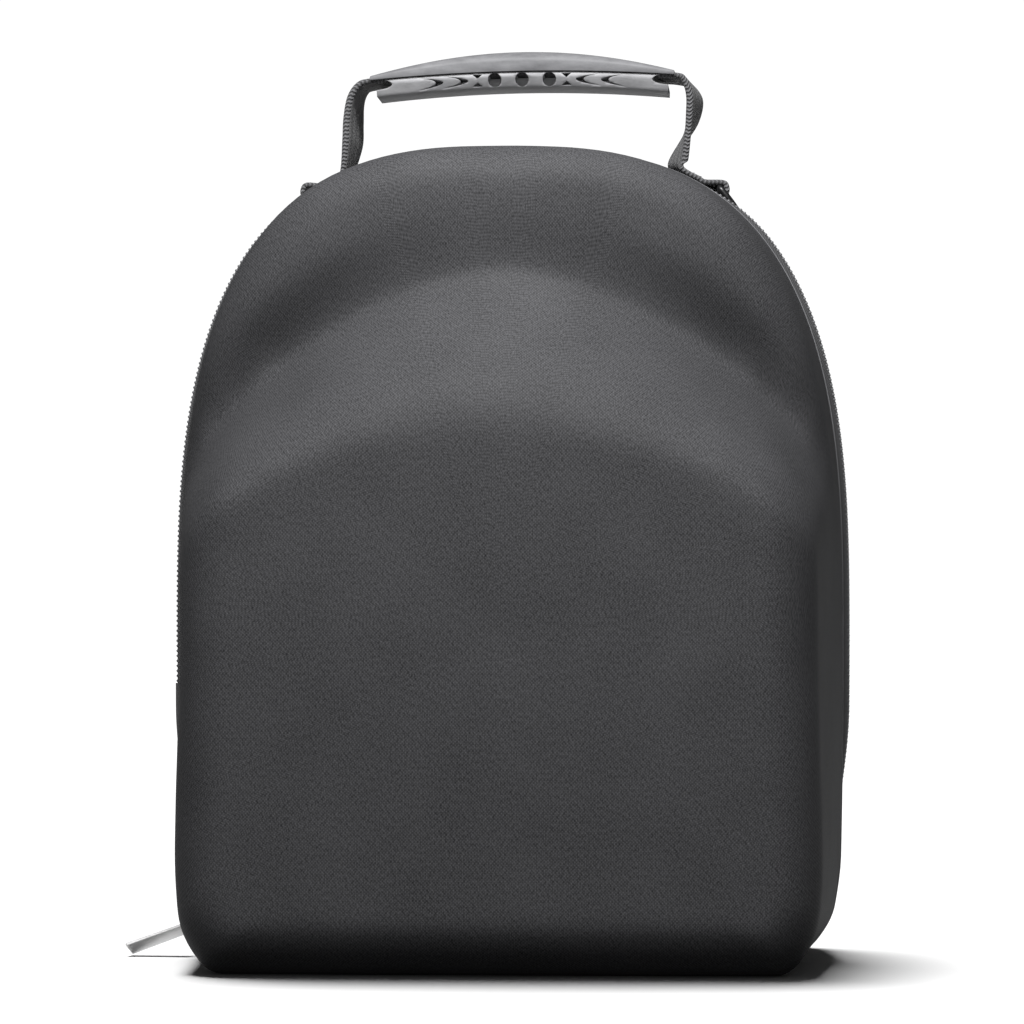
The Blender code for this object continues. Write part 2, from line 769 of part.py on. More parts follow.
def side_heights(x):
    """Top and bottom of the lower half's side face, at a distance along."""
    high = grip_arch(GRIP_PARTING, GRIP_PARTING_SAG, x) - GAP / 2
    return high, grip_arch(GRIP_BOTTOM, GRIP_BOTTOM_SAG, x)


def crescent(place, hand):
    """Outline of a crescent recess, bulging to the grip's middle."""
    steps = 5
    outer = []
    inner = []
    for step in range(steps + 1):
        across = 2 * step / steps - 1
        lag = across ** 2
        x_outer = place + CRESCENT_LENGTH * lag
        x_inner = place + CRESCENT_THICKNESS + (CRESCENT_LENGTH - CRESCENT_THICKNESS) * lag
        high, low = side_heights(x_outer)
        middle = (high + low) / 2
        z = middle + across * ((high - low) / 2 - CRESCENT_MARGIN)
        outer.append((hand * x_outer, z))
        inner.append((hand * x_inner, z))
    return outer + inner[-2:0:-1]


def wedge(place, edge, tip):
    """Outline of a small triangular recess, from a wide edge to a tip."""
    half = WEDGE_WIDTH / 2
    return [(place - half, edge), (place + half, edge), (place, tip)]


def recess_outlines():
    """Outlines of the recesses in one side of the grip's lower half."""
    outlines = []
    for step in (-1, 0, 1):
        high, low = side_heights(step * HOLE_PITCH)
        outlines.append(ellipse(step * HOLE_PITCH, (high + low) / 2, HOLE_RADIUS, HOLE_RADIUS))
    for hand in (-1, 1):
        high, low = side_heights(WEDGE_PLACE)
        top = high - CRESCENT_MARGIN
        outlines.append(wedge(hand * WEDGE_PLACE, top, top - WEDGE_HEIGHT))
        bottom = low + CRESCENT_MARGIN
        outlines.append(wedge(hand * WEDGE_PLACE, bottom, bottom + WEDGE_HEIGHT))
        outlines += [crescent(place, hand) for place in CRESCENT_PLACES]
    return outlines


def build_recess_cutter():
    """All the recesses of both sides, and the two end notches, as one cutter."""
    work = bmesh.new()
    for side in (FRONT, BACK):
        for outline in recess_outlines():
            upright_prism(work, outline, side * GRIP_WIDTH / 2, RECESS_DEPTH)
    for hand in (-1, 1):
        end = hand * GRIP_LENGTH / 2
        high, _ = side_heights(end)
        notch = ellipse(end, high - NOTCH_DROP, NOTCH_LENGTH, NOTCH_HEIGHT / 2)
        upright_prism(work, notch, 0, GRIP_WIDTH)
    bmesh.ops.recalc_face_normals(work, faces=work.faces)
    mesh = bpy.data.meshes.new("recess_cutter")
    work.to_mesh(mesh)
    work.free()
    cutter = add_object("recess_cutter", mesh, None, "cutters")
    cutter.matrix_world = grip_frame()
    return as_cutter(cutter)


def channel_centre(x):
    """Middle of the webbing's channel through the grip, in the grip's frame."""
    return Vector((x, 0, grip_arch(GRIP_PARTING, GRIP_PARTING_SAG, x) + GAP / 2))


def build_channel_cutter():
    """Channel for the webbing, half in each part of the grip and out past both of its ends."""
    past_end = 2 * STRAP_THICKNESS
    across = Vector((0, STRAP_WIDTH / 2 + GAP, 0))
    out = Vector((0, 0, STRAP_THICKNESS / 2 + GAP))
    places = grip_stations(GRIP_LENGTH + 2 * past_end)
    stations = [Station(channel_centre(x), across, out) for x in places]
    cutter = add_object("channel_cutter", strip_mesh("channel_cutter", stations), None, "cutters")
    cutter.matrix_world = grip_frame()
    return as_cutter(cutter)


def build_grip(material):
    """The two halves of the grip, cut for the webbing, with the pattern of recesses below."""
    channel = build_channel_cutter()
    recesses = build_recess_cutter()
    pieces = []
    for name, section in (("grip_top", grip_top_section), ("grip_bottom", grip_bottom_section)):
        mesh = bar_mesh(name, [section(x) for x in grip_stations(GRIP_LENGTH)])
        piece = add_object(name, mesh, material)
        piece.matrix_world = grip_frame()
        cut(piece, channel)
        smooth_by_angle(piece)
        pieces.append(piece)
    cut(pieces[1], recesses)
    return pieces


def wall_at(x):
    """Back shell's top wall under the handle, at a distance to one side."""
    hand = 1 if x > 0 else -1
    inset = max(HANDLE_DEPTH - RIM_LIP, 0) * math.tan(TOP_DRAFT)
    low = 0.0
    high = math.pi / 2
    halvings = 40
    for _ in range(halvings):
        angle = (low + high) / 2
        rim = dome_rim(angle)
        if rim.x - rim.normal_x * inset > abs(x):
            low = angle
        else:
            high = angle
    point = Vector((hand * (rim.x - rim.normal_x * inset), HANDLE_Y, rim.z - rim.normal_z * inset))
    out = Vector((hand * rim.normal_x, 0, rim.normal_z))
    tangent = Vector((hand * rim.normal_z, 0, -rim.normal_x))
    back = Vector((0, 1, 0))
    lateral = back * math.cos(TOP_DRAFT) - out * math.sin(TOP_DRAFT)
    normal = out * math.cos(TOP_DRAFT) + back * math.sin(TOP_DRAFT)
    return Wall(point, tangent, lateral, normal)


def dome_rim(angle):
    """Point and normal of the dome at an angle."""
    step = 0.001
    x, z = dome_point(angle)
    x_before, z_before = dome_point(angle - step)
    x_after, z_after = dome_point(angle + step)
    run = Vector((x_after - x_before, z_after - z_before)).normalized()
    return Rim(x, z, run.y, -run.x)


def layer_height(layer):
    """Height of a sewn layer's middle above the shell: 0 for the lower, 1 for the upper."""
    return GAP + STRAP_THICKNESS / 2 + layer * (STRAP_THICKNESS + GAP)


def ring_radius():
    """Radius at which the webbing's middle runs round a ring's bar."""
    return RING_WIRE + 2 * GAP + STRAP_THICKNESS / 2


def ring_bar(hand):
    """Middle of a ring's bar."""
    wall = wall_at(hand * RING_PLACE)
    return wall.point + wall.normal * (layer_height(0) + ring_radius())


def strap_side(hand, bends, foot):
    """Webbing's middle line, lateral directions and twists, from the grip to its end in the ring."""
    start = grip_frame() @ channel_centre(hand * GRIP_LENGTH / 2)
    landing = wall_at(hand * foot)
    drop = start.z - landing.point.z
    back = Vector((0, 1, 0))
    trail = []
    for bend in bends:
        x = start.x + hand * STRAP_REACH * bend.outward
        z = start.z - drop * (1 - bend.height)
        turn = Matrix.Rotation(-hand * bend.twist * DEGREE, 3, "Z")
        trail.append((Vector((x, HANDLE_Y, z)), turn @ back))
    foot_height = layer_height(1) + STRAP_FOOT_BEND
    half_turned = (back + landing.lateral).normalized()
    trail.append((landing.point + landing.normal * foot_height, half_turned))
    trail += sewn_layer(hand, foot, SEWN_UPPER, layer_height(1))
    wall = wall_at(hand * RING_PLACE)
    middle = ring_bar(hand)
    for turn in LOOP_TURNS:
        reach = wall.tangent * math.cos(turn * DEGREE) + wall.normal * math.sin(turn * DEGREE)
        trail.append((middle + reach * ring_radius(), wall.lateral))
    return trail + sewn_layer(hand, foot, SEWN_LOWER, layer_height(0))


def sewn_layer(hand, foot, shares, height):
    """Places of one sewn layer of webbing, at shares of the run from its foot to the ring."""
    start = foot + STRAP_FOOT_BEND
    layer = []
    for share in shares:
        wall = wall_at(hand * blend(start, RING_PLACE, share))
        layer.append((wall.point + wall.normal * height, wall.lateral))
    return layer


def smooth_trail(trail):
    """Points of a smooth curve through a trail of places and lateral directions."""
    ends = [trail[0]] + trail + [trail[-1]]
    smooth = []
    for index in range(1, len(ends) - 2):
        for step in range(PATH_STEPS):
            share = step / PATH_STEPS
            place = catmull([ends[index + near][0] for near in (-1, 0, 1, 2)], share)
            lateral = ends[index][1].lerp(ends[index + 1][1], share).normalized()
            smooth.append((place, lateral))
    return smooth + [trail[-1]]


def catmull(points, share):
    """Point of a Catmull-Rom curve between the middle two of four points."""
    before, start, end, after = points
    bend = 2 * before - 5 * start + 4 * end - after
    swing = 3 * start - before - 3 * end + after
    return start + share / 2 * ((end - before) + share * (bend + share * swing))


def build_strap(material):
    """One length of webbing: through the grip, down both sides, sewn, and folded round the rings."""
    grip = grip_frame()
    right = strap_side(1, STRAP_BENDS_RIGHT, STRAP_FOOT_RIGHT)
    left = strap_side(-1, STRAP_BENDS_LEFT, STRAP_FOOT_LEFT)
    back = Vector((0, 1, 0))
    inside = []
    for share in CHANNEL_PLACES:
        inside.append((grip @ channel_centre(share * GRIP_LENGTH / 2), back))
    trail = smooth_trail(left[::-1] + inside + right)
    stations = []
    for index, (place, lateral) in enumerate(trail):
        before = trail[max(index - 1, 0)][0]
        after = trail[min(index + 1, len(trail) - 1)][0]
        run = (after - before).normalized()
        out = run.cross(lateral).normalized()
        stations.append(Station(place, lateral * STRAP_WIDTH / 2, out * STRAP_THICKNESS / 2))
    return add_object("handle_strap", strip_mesh("handle_strap", stations), material)


def build_ring(name, hand, material):
    """Wire D-ring, with its straight bar in the webbing's fold and its bow lying on the shell."""
    wall = wall_at(hand * RING_PLACE)
    middle = ring_bar(hand)
    resting = wall_at(hand * (RING_PLACE + RING_CONTACT))
    rest_point = resting.point + resting.normal * (RING_WIRE + GAP)
    away = rest_point - middle
    away = (away - wall.lateral * away.dot(wall.lateral)).normalized()
    curve = bpy.data.curves.new(name, "CURVE")
    curve.dimensions = "3D"
    curve.fill_mode = "FULL"
    curve.bevel_depth = RING_WIRE
    curve.bevel_resolution = 2
    arc = 10
    half_bar = STRAP_WIDTH / 2 + RING_WIRE + 2 * GAP
    points = [(0.0, -half_bar), (0.0, half_bar)]
    for step in range(arc + 1):
        angle = math.pi * step / arc
        reach = blend(RING_SHOULDER, RING_LENGTH, math.sin(angle))
        points.append((reach, half_bar * math.cos(angle)))
    spline = curve.splines.new("POLY")
    spline.points.add(len(points) - 1)
    for point, (x, y) in zip(spline.points, points):
        point.co = (x, y, 0, 1)
    spline.use_cyclic_u = True
    piece = add_object(name, curve_to_mesh(name, curve), material)
    piece.matrix_world = frame_matrix(middle, away, wall.lateral, away.cross(wall.lateral))
    piece.data.shade_smooth()
    return piece


def build_case():
    """The whole case."""
    clear_scene()
    cloth = make_material("woven_polyester", (0.035, 0.035, 0.036), 0.85)
    webbing = make_material("black_webbing", (0.02, 0.02, 0.02), 0.8)
    tape = make_material("zip_tape", (0.02, 0.02, 0.02), 0.85)
    teeth = make_material("zip_teeth", (0.01, 0.01, 0.01), 0.45)
    grey_rubber = make_material("grey_rubber", (0.2, 0.2, 0.2), 0.55)
    black_metal = make_material("black_wire", (0.01, 0.01, 0.01), 0.35, 0.8)
    nickel = make_material("satin_nickel", (0.6, 0.6, 0.6), 0.35, 1.0)
    build_shell("front_shell", cloth, front_face, FRONT_ROWS, FRONT_RIM_Y, FRONT)
    build_shell("back_shell", cloth, back_face, BACK_ROWS, BACK_RIM_Y, BACK)
    build_tape("zip_tape_front", tape, FRONT)
    build_tape("zip_tape_back", tape, BACK)
    build_chain(teeth)
    build_hinge_strip(tape)
    build_slider(black_metal)
    build_pull(nickel)
    build_tab(cloth)
    build_grip(grey_rubber)
    build_strap(webbing)
    build_ring("ring_left", -1, black_metal)
    build_ring("ring_right", 1, black_metal)


build_case()
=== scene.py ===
"""Looks of the hard cap case: moulded cloth shells, coil zip, webbing handle with a moulded grip.

Metres, +Z up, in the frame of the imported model. The case's deep front faces -Y.
"""

import math
from collections import namedtuple

import bmesh
import bpy
from mathutils import Matrix, Vector, noise

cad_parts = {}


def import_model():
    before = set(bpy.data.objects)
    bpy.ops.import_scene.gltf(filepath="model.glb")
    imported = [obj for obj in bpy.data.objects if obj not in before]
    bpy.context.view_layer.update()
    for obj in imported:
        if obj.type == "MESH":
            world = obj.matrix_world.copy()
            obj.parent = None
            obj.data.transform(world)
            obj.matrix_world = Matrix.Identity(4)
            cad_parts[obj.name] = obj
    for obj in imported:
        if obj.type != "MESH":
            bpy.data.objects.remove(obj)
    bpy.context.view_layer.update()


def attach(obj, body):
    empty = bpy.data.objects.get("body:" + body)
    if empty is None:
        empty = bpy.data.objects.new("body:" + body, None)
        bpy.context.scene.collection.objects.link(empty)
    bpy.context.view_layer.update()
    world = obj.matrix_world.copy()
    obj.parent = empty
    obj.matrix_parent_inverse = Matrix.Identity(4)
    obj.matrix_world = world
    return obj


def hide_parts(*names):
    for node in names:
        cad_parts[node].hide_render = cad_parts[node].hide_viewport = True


MM = 0.001
DEGREE = math.pi / 180
GAP = 0.3 * MM

# Shell outline, walls and faces, as in the part's construction
HALF_WIDTH = 125 * MM
RIM_TOP = 306 * MM
WIDEST_HEIGHT = 125 * MM
DOME_POWER = 2.9
FOOT_TAPER = 1.5 * MM
CORNER_RADIUS = 22 * MM
CORNER_X = HALF_WIDTH - FOOT_TAPER - CORNER_RADIUS
SHELL_WALL = 4 * MM
RIM_LIP = 6 * MM
TOP_DRAFT = 4.5 * DEGREE
SIDE_DRAFT = 7.5 * DEGREE
FOOT_DRAFT = 5 * DEGREE
MOST_EDGE = 0.8
CROWN_DEPTH = 100 * MM
CROWN_DOMING = 3 * MM
CROWN_HALF_WIDTH = 155 * MM
CROWN_TOP = 257 * MM
CROWN_SHOULDER_HEIGHT = 100 * MM
CROWN_POWER = 1.7
CROWN_TOP_SLOPE = 66 * MM
CROWN_SIDE_SLOPE = 22 * MM
SLOPE_TURN = 3
VALLEY_POWER = 1.5
SHOULDER_POWER = 2.6
GROOVE_DEPTH = 9 * MM
GROOVE_WIDTH = 26 * MM
GROOVE_MIDDLE_SHARE = 0.25
GROOVE_FADE_NEAR = 25 * MM
GROOVE_FADE_FAR = 85 * MM
CROWN_EDGE_RADIUS = 22 * MM
PEAK_DEPTH = 62 * MM
PEAK_SIDE_FALL = 22 * MM
PEAK_EDGE_RADIUS = 16 * MM
BACK_DEPTH = 62 * MM
BACK_DOMING = 2 * MM
BACK_EDGE_RADIUS = 18 * MM

# Fineness of the shells' meshes, and the slight unevenness of moulded cloth over foam
BASE_COLUMNS = 26
CORNER_COLUMNS = 16
SIDE_COLUMNS = 24
DOME_COLUMNS = 56
FRONT_ROWS = 150
BACK_ROWS = 96
PROFILE_SAMPLES = 420
SAMPLE_CROWDING = 3
BEND_WEIGHT = 6 * MM
SMOOTHING_ROUNDS = 10
WAVE_HEIGHT = 0.2 * MM
WAVE_LENGTH = 38 * MM

# Zip band between the shells
ZIP_Y = 19 * MM
BAND_HALF = 8 * MM
BAND_BULGE = 3.5 * MM
CORNER_SINK = 1.5 * MM
SLIDER_SINK = 5 * MM
BULGE_FADE_LOW = 35 * MM
BULGE_FADE_HIGH = 95 * MM
TOP_BULGE = -0.8 * MM
TOP_FADE_NEAR = 45 * MM
TOP_FADE_FAR = 100 * MM
TAPE_THICKNESS = 0.8 * MM
TAPE_TUCK = 5 * MM
CHAIN_WIDTH = 4.8 * MM
CHAIN_THICKNESS = 2.4 * MM
TOOTH_PITCH = 1.9 * MM
TOOTH_LENGTH = 3.1 * MM
TOOTH_WIDTH = 1.15 * MM
STITCH_PITCH = 3.2 * MM
STITCH_LENGTH = 2.3 * MM
STITCH_BOW = 0.12 * MM
THREAD_RADIUS = 0.32 * MM
SEAM_PLACE = BAND_HALF - 3.1 * MM
TAPE_SPANS = 9
TAPE_ROUNDING = 0.8
COIL_START = 14 * MM
COIL_SIDES = 6
COIL_TURN_PLACE = 0.36
COIL_HEAD_PLACE = 0.8
COIL_HEAD_SIZE = 0.62
COIL_FLATTENING = (0.8, 1.0, 0.85, 1)
PIPING_RADIUS = 0.7 * MM
PIPING_SINK = 0.2 * MM
PIPING_SHIFT = 0.2 * MM
PIPING_FLOOR_GAP = 0.1 * MM

# Handle
HANDLE_DEPTH = 18 * MM
HANDLE_Y = ZIP_Y + BAND_HALF + HANDLE_DEPTH
HANDLE_SHIFT = 3 * MM
GRIP_TILT = 0.7 * DEGREE
GRIP_LENGTH = 117 * MM
GRIP_WIDTH = 30 * MM
GRIP_PARTING = RIM_TOP + 32.4 * MM
GRIP_PARTING_SAG = 2.4 * MM
GRIP_TOP = GRIP_PARTING + 8.6 * MM
GRIP_TOP_SAG = 8.6 * MM
GRIP_BOTTOM = GRIP_PARTING - 5.4 * MM
GRIP_BOTTOM_SAG = 3.1 * MM
GRIP_KEEL = 11 * MM
GRIP_OVERHANG = 0.9 * MM
GRIP_LIP = 0.9 * MM
GRIP_LOWER_INSET = 2.4 * MM
GRIP_SHOULDER = 0.45
GRIP_ROUNDING = 0.6
GRIP_SPANS = 60
GRIP_KEEL_ROUNDING = 0.9
GRIP_SOFTENING = 0.3 * MM
NOTCH_LENGTH = 8.5 * MM
NOTCH_HEIGHT = 4.4 * MM
NOTCH_DROP = 1.2 * MM
RECESS_DEPTH = 12 * MM
HOLE_RADIUS = 2.6 * MM
HOLE_PITCH = 10.5 * MM
WEDGE_PLACE = 17.1 * MM
WEDGE_WIDTH = 4 * MM
WEDGE_HEIGHT = 1.5 * MM
CRESCENT_PLACES = (20.7 * MM, 30.3 * MM)
CRESCENT_LENGTH = 9.8 * MM
CRESCENT_THICKNESS = 3 * MM
CRESCENT_MARGIN = 0.5 * MM
STRAP_WIDTH = 25 * MM
STRAP_THICKNESS = 2 * MM
DOUBLED_THICKNESS = 2.6 * MM
STRAP_REACH = 8.5 * MM
STRAP_FOOT_LEFT = 64 * MM
STRAP_FOOT_RIGHT = 62 * MM
STRAP_FOOT_BEND = 4 * MM
STRAP_FOOT_RISE = 1.5 * MM
STRAP_STEPS = 8
STRAP_FLAT = 0.93
BAR_STITCH_LENGTH = 2 * MM
BAR_STITCH_RADIUS = 0.3 * MM
BAR_STITCH_PITCH = 2.6 * MM
BAR_STITCH_MARGIN = 2 * MM
BAR_STITCH_ROWS = (0.05, 0.3, 0.55)
RING_PLACE = 76 * MM
RING_WIRE = 1.25 * MM
RING_LENGTH = 14 * MM
RING_SHOULDER = 3.5 * MM
RING_CONTACT = 8.7 * MM

# Slider, pull and tab
SLIDER_ANGLE = 28 * DEGREE
SLIDER_LENGTH = 9 * MM
SLIDER_WIDTH = 9 * MM
SLIDER_PLATE = 1.4 * MM
SLIDER_UNDER_GAP = 1 * MM
SLIDER_CORNER = 2.2 * MM
SLIDER_TAPER = 0.22
SLIDER_EDGE = 0.45 * MM
NOSE_HALF_LENGTH = 1 * MM
NOSE_HALF_WIDTH = 1.7 * MM
NOSE_CORNER = 0.6 * MM
NOSE_EDGE = 0.1 * MM
BRIDGE_LENGTH = 6 * MM
BRIDGE_BAR = 1 * MM
BRIDGE_OPENING = 3 * MM
BRIDGE_RADIUS = 0.6 * MM
BRIDGE_ROUNDING = 0.45
PULL_THICKNESS = 1 * MM
PULL_BAR = 1.2 * MM
PULL_NECK_LENGTH = 6.2 * MM
PULL_NECK_WIDTH = 7.2 * MM
PULL_NECK_ARM = 1.2 * MM
PULL_PLATE_LENGTH = 22.5 * MM
PULL_ROOT_WIDTH = 8.4 * MM
PULL_TIP_WIDTH = 9.6 * MM
PULL_ROLL = 26 * DEGREE
PULL_CHAMFER = 0.5 * MM
PULL_EDGE = 0.18 * MM
TAB_LOW = 79 * MM
TAB_HIGH = 104 * MM
TAB_THICKNESS = 0.8 * MM
TAB_TUCK = 1.2 * MM
TAB_ROUNDING = 0.7
TAB_LIFT = 0.3
TAB_SPAN = 0.9 * MM
HINGE_SLACK = 1.2 * MM
HINGE_WAVE = 0.2
HINGE_WAVE_LENGTH = 9 * MM

# Weave of the shells' cloth. Its threads are about 0.5 mm apart on such cloth, and drawn a little
# coarser so that they show. The shares say how much each pattern adds to the tone.
CLOTH_THREAD = 0.9 * MM
CLOTH_RELIEF = 0.1 * MM
WEAVE_SHARE = 0.3
SLUB_SHARE = 0.9
THREAD_SHARE = 0.9
CLOUD_SHARE = 0.22

# Irregular patterns, by how many of their marks there are to a metre
PER_MM = 1 / MM
SLUBS_ACROSS = 1.5 * PER_MM
SLUBS_ALONG = 0.7 * PER_MM
CLOTH_CLOUDS = 0.022 * PER_MM
TAPE_FIBRES = 1.6 * PER_MM
COIL_MARKS = 0.7 * PER_MM
RUBBER_MOTTLES = 0.07 * PER_MM
RUBBER_GRAINS = 1.5 * PER_MM
METAL_MARKS = 0.26 * PER_MM

FRONT_RIM_Y = ZIP_Y - BAND_HALF
BACK_RIM_Y = ZIP_Y + BAND_HALF
FRONT = -1
BACK = 1

# Lower corners are a little rounder where they are seen than the plain arcs of the solids
FOOT_ROUNDING = 4 * MM
FOOT_ROUNDING_HEIGHT = 40 * MM
FOOT_ROUNDING_REACH = 40 * MM

# Photograph's camera: its distance to the zip's plane, its height and its turn to the right
CAMERA_DISTANCE = 1.70
CAMERA_HEIGHT = 0.123
CAMERA_TURN = 3.5 * DEGREE
CAMERA_AIM = Vector((0, ZIP_Y, 0.169))
FRAME_PIXELS = 1024
FOCAL_PIXELS = 4474
SENSOR_WIDTH = 36

# Studio: the floor's size in metres, the sun that lights it alone, and the world's weak fill
FLOOR_HALF = 60.0
FLOOR_SUN_PLACE = (-0.12, 0.2, 1.0)
FLOOR_SUN_POWER = 4.4
FLOOR_SUN_ANGLE = 22 * DEGREE
WORLD_FILL = 0.04

Rim = namedtuple("Rim", "x z normal_x normal_z")
Bend = namedtuple("Bend", "outward height twist")
Wall = namedtuple("Wall", "point tangent lateral normal")
SoftBox = namedtuple("SoftBox", "name place target power width height")

# Lights on the case alone: places and sizes in metres, power in watts
SOFT_BOXES = (
    SoftBox("overhead_box", (0, -0.95, 1.15), (0, 0, 0.22), power=14, width=0.35, height=0.35),
    SoftBox("front_fill", (0, -2.2, 0.45), (0, 0, 0.15), power=6, width=0.4, height=0.5),
    SoftBox("shoulder_strip", (0, -0.36, 0.76), (0, -0.05, 0.25), power=10, width=0.28, height=0.14),
)

# Webbing from the grip's end down to its sewn foot: outward as a share of STRAP_REACH, height as a
# share of the drop from the grip to the shell, twist in degrees
STRAP_BENDS_LEFT = (
    Bend(outward=0.10, height=1.00, twist=0),
    Bend(outward=0.52, height=0.96, twist=-2),
    Bend(outward=0.80, height=0.84, twist=-5),
    Bend(outward=0.90, height=0.64, twist=-8),
    Bend(outward=0.95, height=0.42, twist=-8),
)
STRAP_BENDS_RIGHT = (
    Bend(outward=0.10, height=1.00, twist=0),
    Bend(outward=0.55, height=0.96, twist=5),
    Bend(outward=0.88, height=0.82, twist=9),
    Bend(outward=0.78, height=0.62, twist=5),
    Bend(outward=0.45, height=0.42, twist=-6),
    Bend(outward=0.12, height=0.20, twist=-15),
)

# The webbing's run in the grip as shares of half its length, its sewn layers as shares of the run
# from the bend at its foot to the ring, and its turns round the ring's bar in degrees
CHANNEL_PLACES = (-0.85, -0.5, 0.0, 0.5, 0.85)
SEWN_UPPER = (-0.1, 0.25, 0.5)
SEWN_LOWER = (0.6, 0.25, -0.1)
LOOP_TURNS = (100, 55, 10, -35, -80)


# Small helpers

def blend(low, high, share):
    """Value between two others, at a share of the way."""
    return low + (high - low) * share


def ease(share):
    """Smooth step from 0 to 1, flat at both ends."""
    share = min(max(share, 0.0), 1.0)
    return share * share * (3 - 2 * share)


def colour(code):
    """Linear colour from an sRGB hex code."""
    channels = [int(code[place:place + 2], 16) / 255 for place in (1, 3, 5)]
    linear = [c / 12.92 if c <= 0.04045 else ((c + 0.055) / 1.055) ** 2.4 for c in channels]
    return (*linear, 1.0)


def add_node(tree, kind, settings=None, links=None, values=None, stops=()):
    """Add a node with its settings, its inputs' links and values, and a ramp's stops."""
    node = tree.nodes.new(kind)
    for name, value in (settings or {}).items():
        setattr(node, name, value)
    for name, value in (values or {}).items():
        node.inputs[name].default_value = value
    for name, socket in (links or {}).items():
        tree.links.new(socket, node.inputs[name])
    for index, (place, code) in enumerate(stops):
        node.color_ramp.elements[index].position = place
        node.color_ramp.elements[index].color = colour(code)
    return node


def feed(tree, shader, sockets):
    """Link sockets to a shader's inputs by name."""
    for name, socket in sockets.items():
        tree.links.new(socket, shader.inputs[name])


def new_material(name, code, roughness, metallic=0.0, sheen=0.0, specular=0.5):
    """Principled material, with the values that are the same all over the surface."""
    material = bpy.data.materials.new(name)
    material.use_nodes = True
    shader = material.node_tree.nodes["Principled BSDF"]
    shader.inputs["Base Color"].default_value = colour(code)
    shader.inputs["Roughness"].default_value = roughness
    shader.inputs["Metallic"].default_value = metallic
    shader.inputs["Sheen Weight"].default_value = sheen
    shader.inputs["Specular IOR Level"].default_value = specular
    return material, material.node_tree, shader


def weighted_sum(tree, start, *terms):
    """Socket for a number plus other sockets, each times its weight."""
    total = None
    for socket, weight in terms:
        links = {0: socket, 2: total} if total else {0: socket}
        step = add_node(tree, "ShaderNodeMath", {"operation": "MULTIPLY_ADD"}, links, {1: weight, 2: start})
        total = step.outputs[0]
    return total


def ridges(tree, coordinate, pitch):
    """Wave from 0 to 1 along a coordinate in metres, one for each pitch."""
    turns = weighted_sum(tree, 0.0, (coordinate, 2 * math.pi / pitch))
    wave = add_node(tree, "ShaderNodeMath", {"operation": "SINE"}, {0: turns})
    return weighted_sum(tree, 0.5, (wave.outputs[0], 0.5))


# Materials

def shell_cloth():
    """Woven polyester laminated on moulded foam: charcoal, matt, a fine slanting weave."""
    material, tree, shader = new_material("woven_polyester_laminate", "#303031", 0.85, specular=0.1)
    uv = add_node(tree, "ShaderNodeUVMap", {"uv_map": "cloth"}).outputs["UV"]
    parts = add_node(tree, "ShaderNodeSeparateXYZ", links={"Vector": uv}).outputs
    both = {0: parts["X"], 1: parts["Y"]}
    rising = add_node(tree, "ShaderNodeMath", {"operation": "ADD"}, both).outputs[0]
    falling = add_node(tree, "ShaderNodeMath", {"operation": "SUBTRACT"}, both).outputs[0]
    warp = ridges(tree, rising, CLOTH_THREAD * math.sqrt(2))
    weft = ridges(tree, falling, CLOTH_THREAD * math.sqrt(2))
    weave = add_node(tree, "ShaderNodeMath", {"operation": "MULTIPLY"}, {0: warp, 1: weft}).outputs[0]
    slanted = add_node(
        tree, "ShaderNodeMapping", links={"Vector": uv},
        values={"Rotation": (0.0, 0.0, math.pi / 4), "Scale": (SLUBS_ACROSS, SLUBS_ALONG, 1.0)},
    ).outputs["Vector"]
    slub = add_node(
        tree, "ShaderNodeTexNoise", links={"Vector": slanted},
        values={"Scale": 1.0, "Detail": 2.0, "Roughness": 0.6},
    ).outputs["Fac"]
    cloud = add_node(
        tree, "ShaderNodeTexNoise", links={"Vector": uv},
        values={"Scale": CLOTH_CLOUDS, "Detail": 4.0, "Roughness": 0.6},
    ).outputs["Fac"]
    threads = weighted_sum(tree, 0.0, (weave, WEAVE_SHARE), (slub, SLUB_SHARE))
    tone = weighted_sum(tree, 0.0, (cloud, CLOUD_SHARE), (threads, THREAD_SHARE))
    ramp = add_node(
        tree, "ShaderNodeValToRGB", links={"Fac": tone}, stops=((0.3, "#141415"), (0.95, "#4a4a4c")),
    )
    bump = add_node(
        tree, "ShaderNodeBump", links={"Height": threads},
        values={"Distance": CLOTH_RELIEF, "Strength": 0.7},
    )
    feed(tree, shader, {
        "Base Color": ramp.outputs["Color"],
        "Roughness": weighted_sum(tree, 0.6, (slub, 0.2)),
        "Normal": bump.outputs["Normal"],
    })
    return material


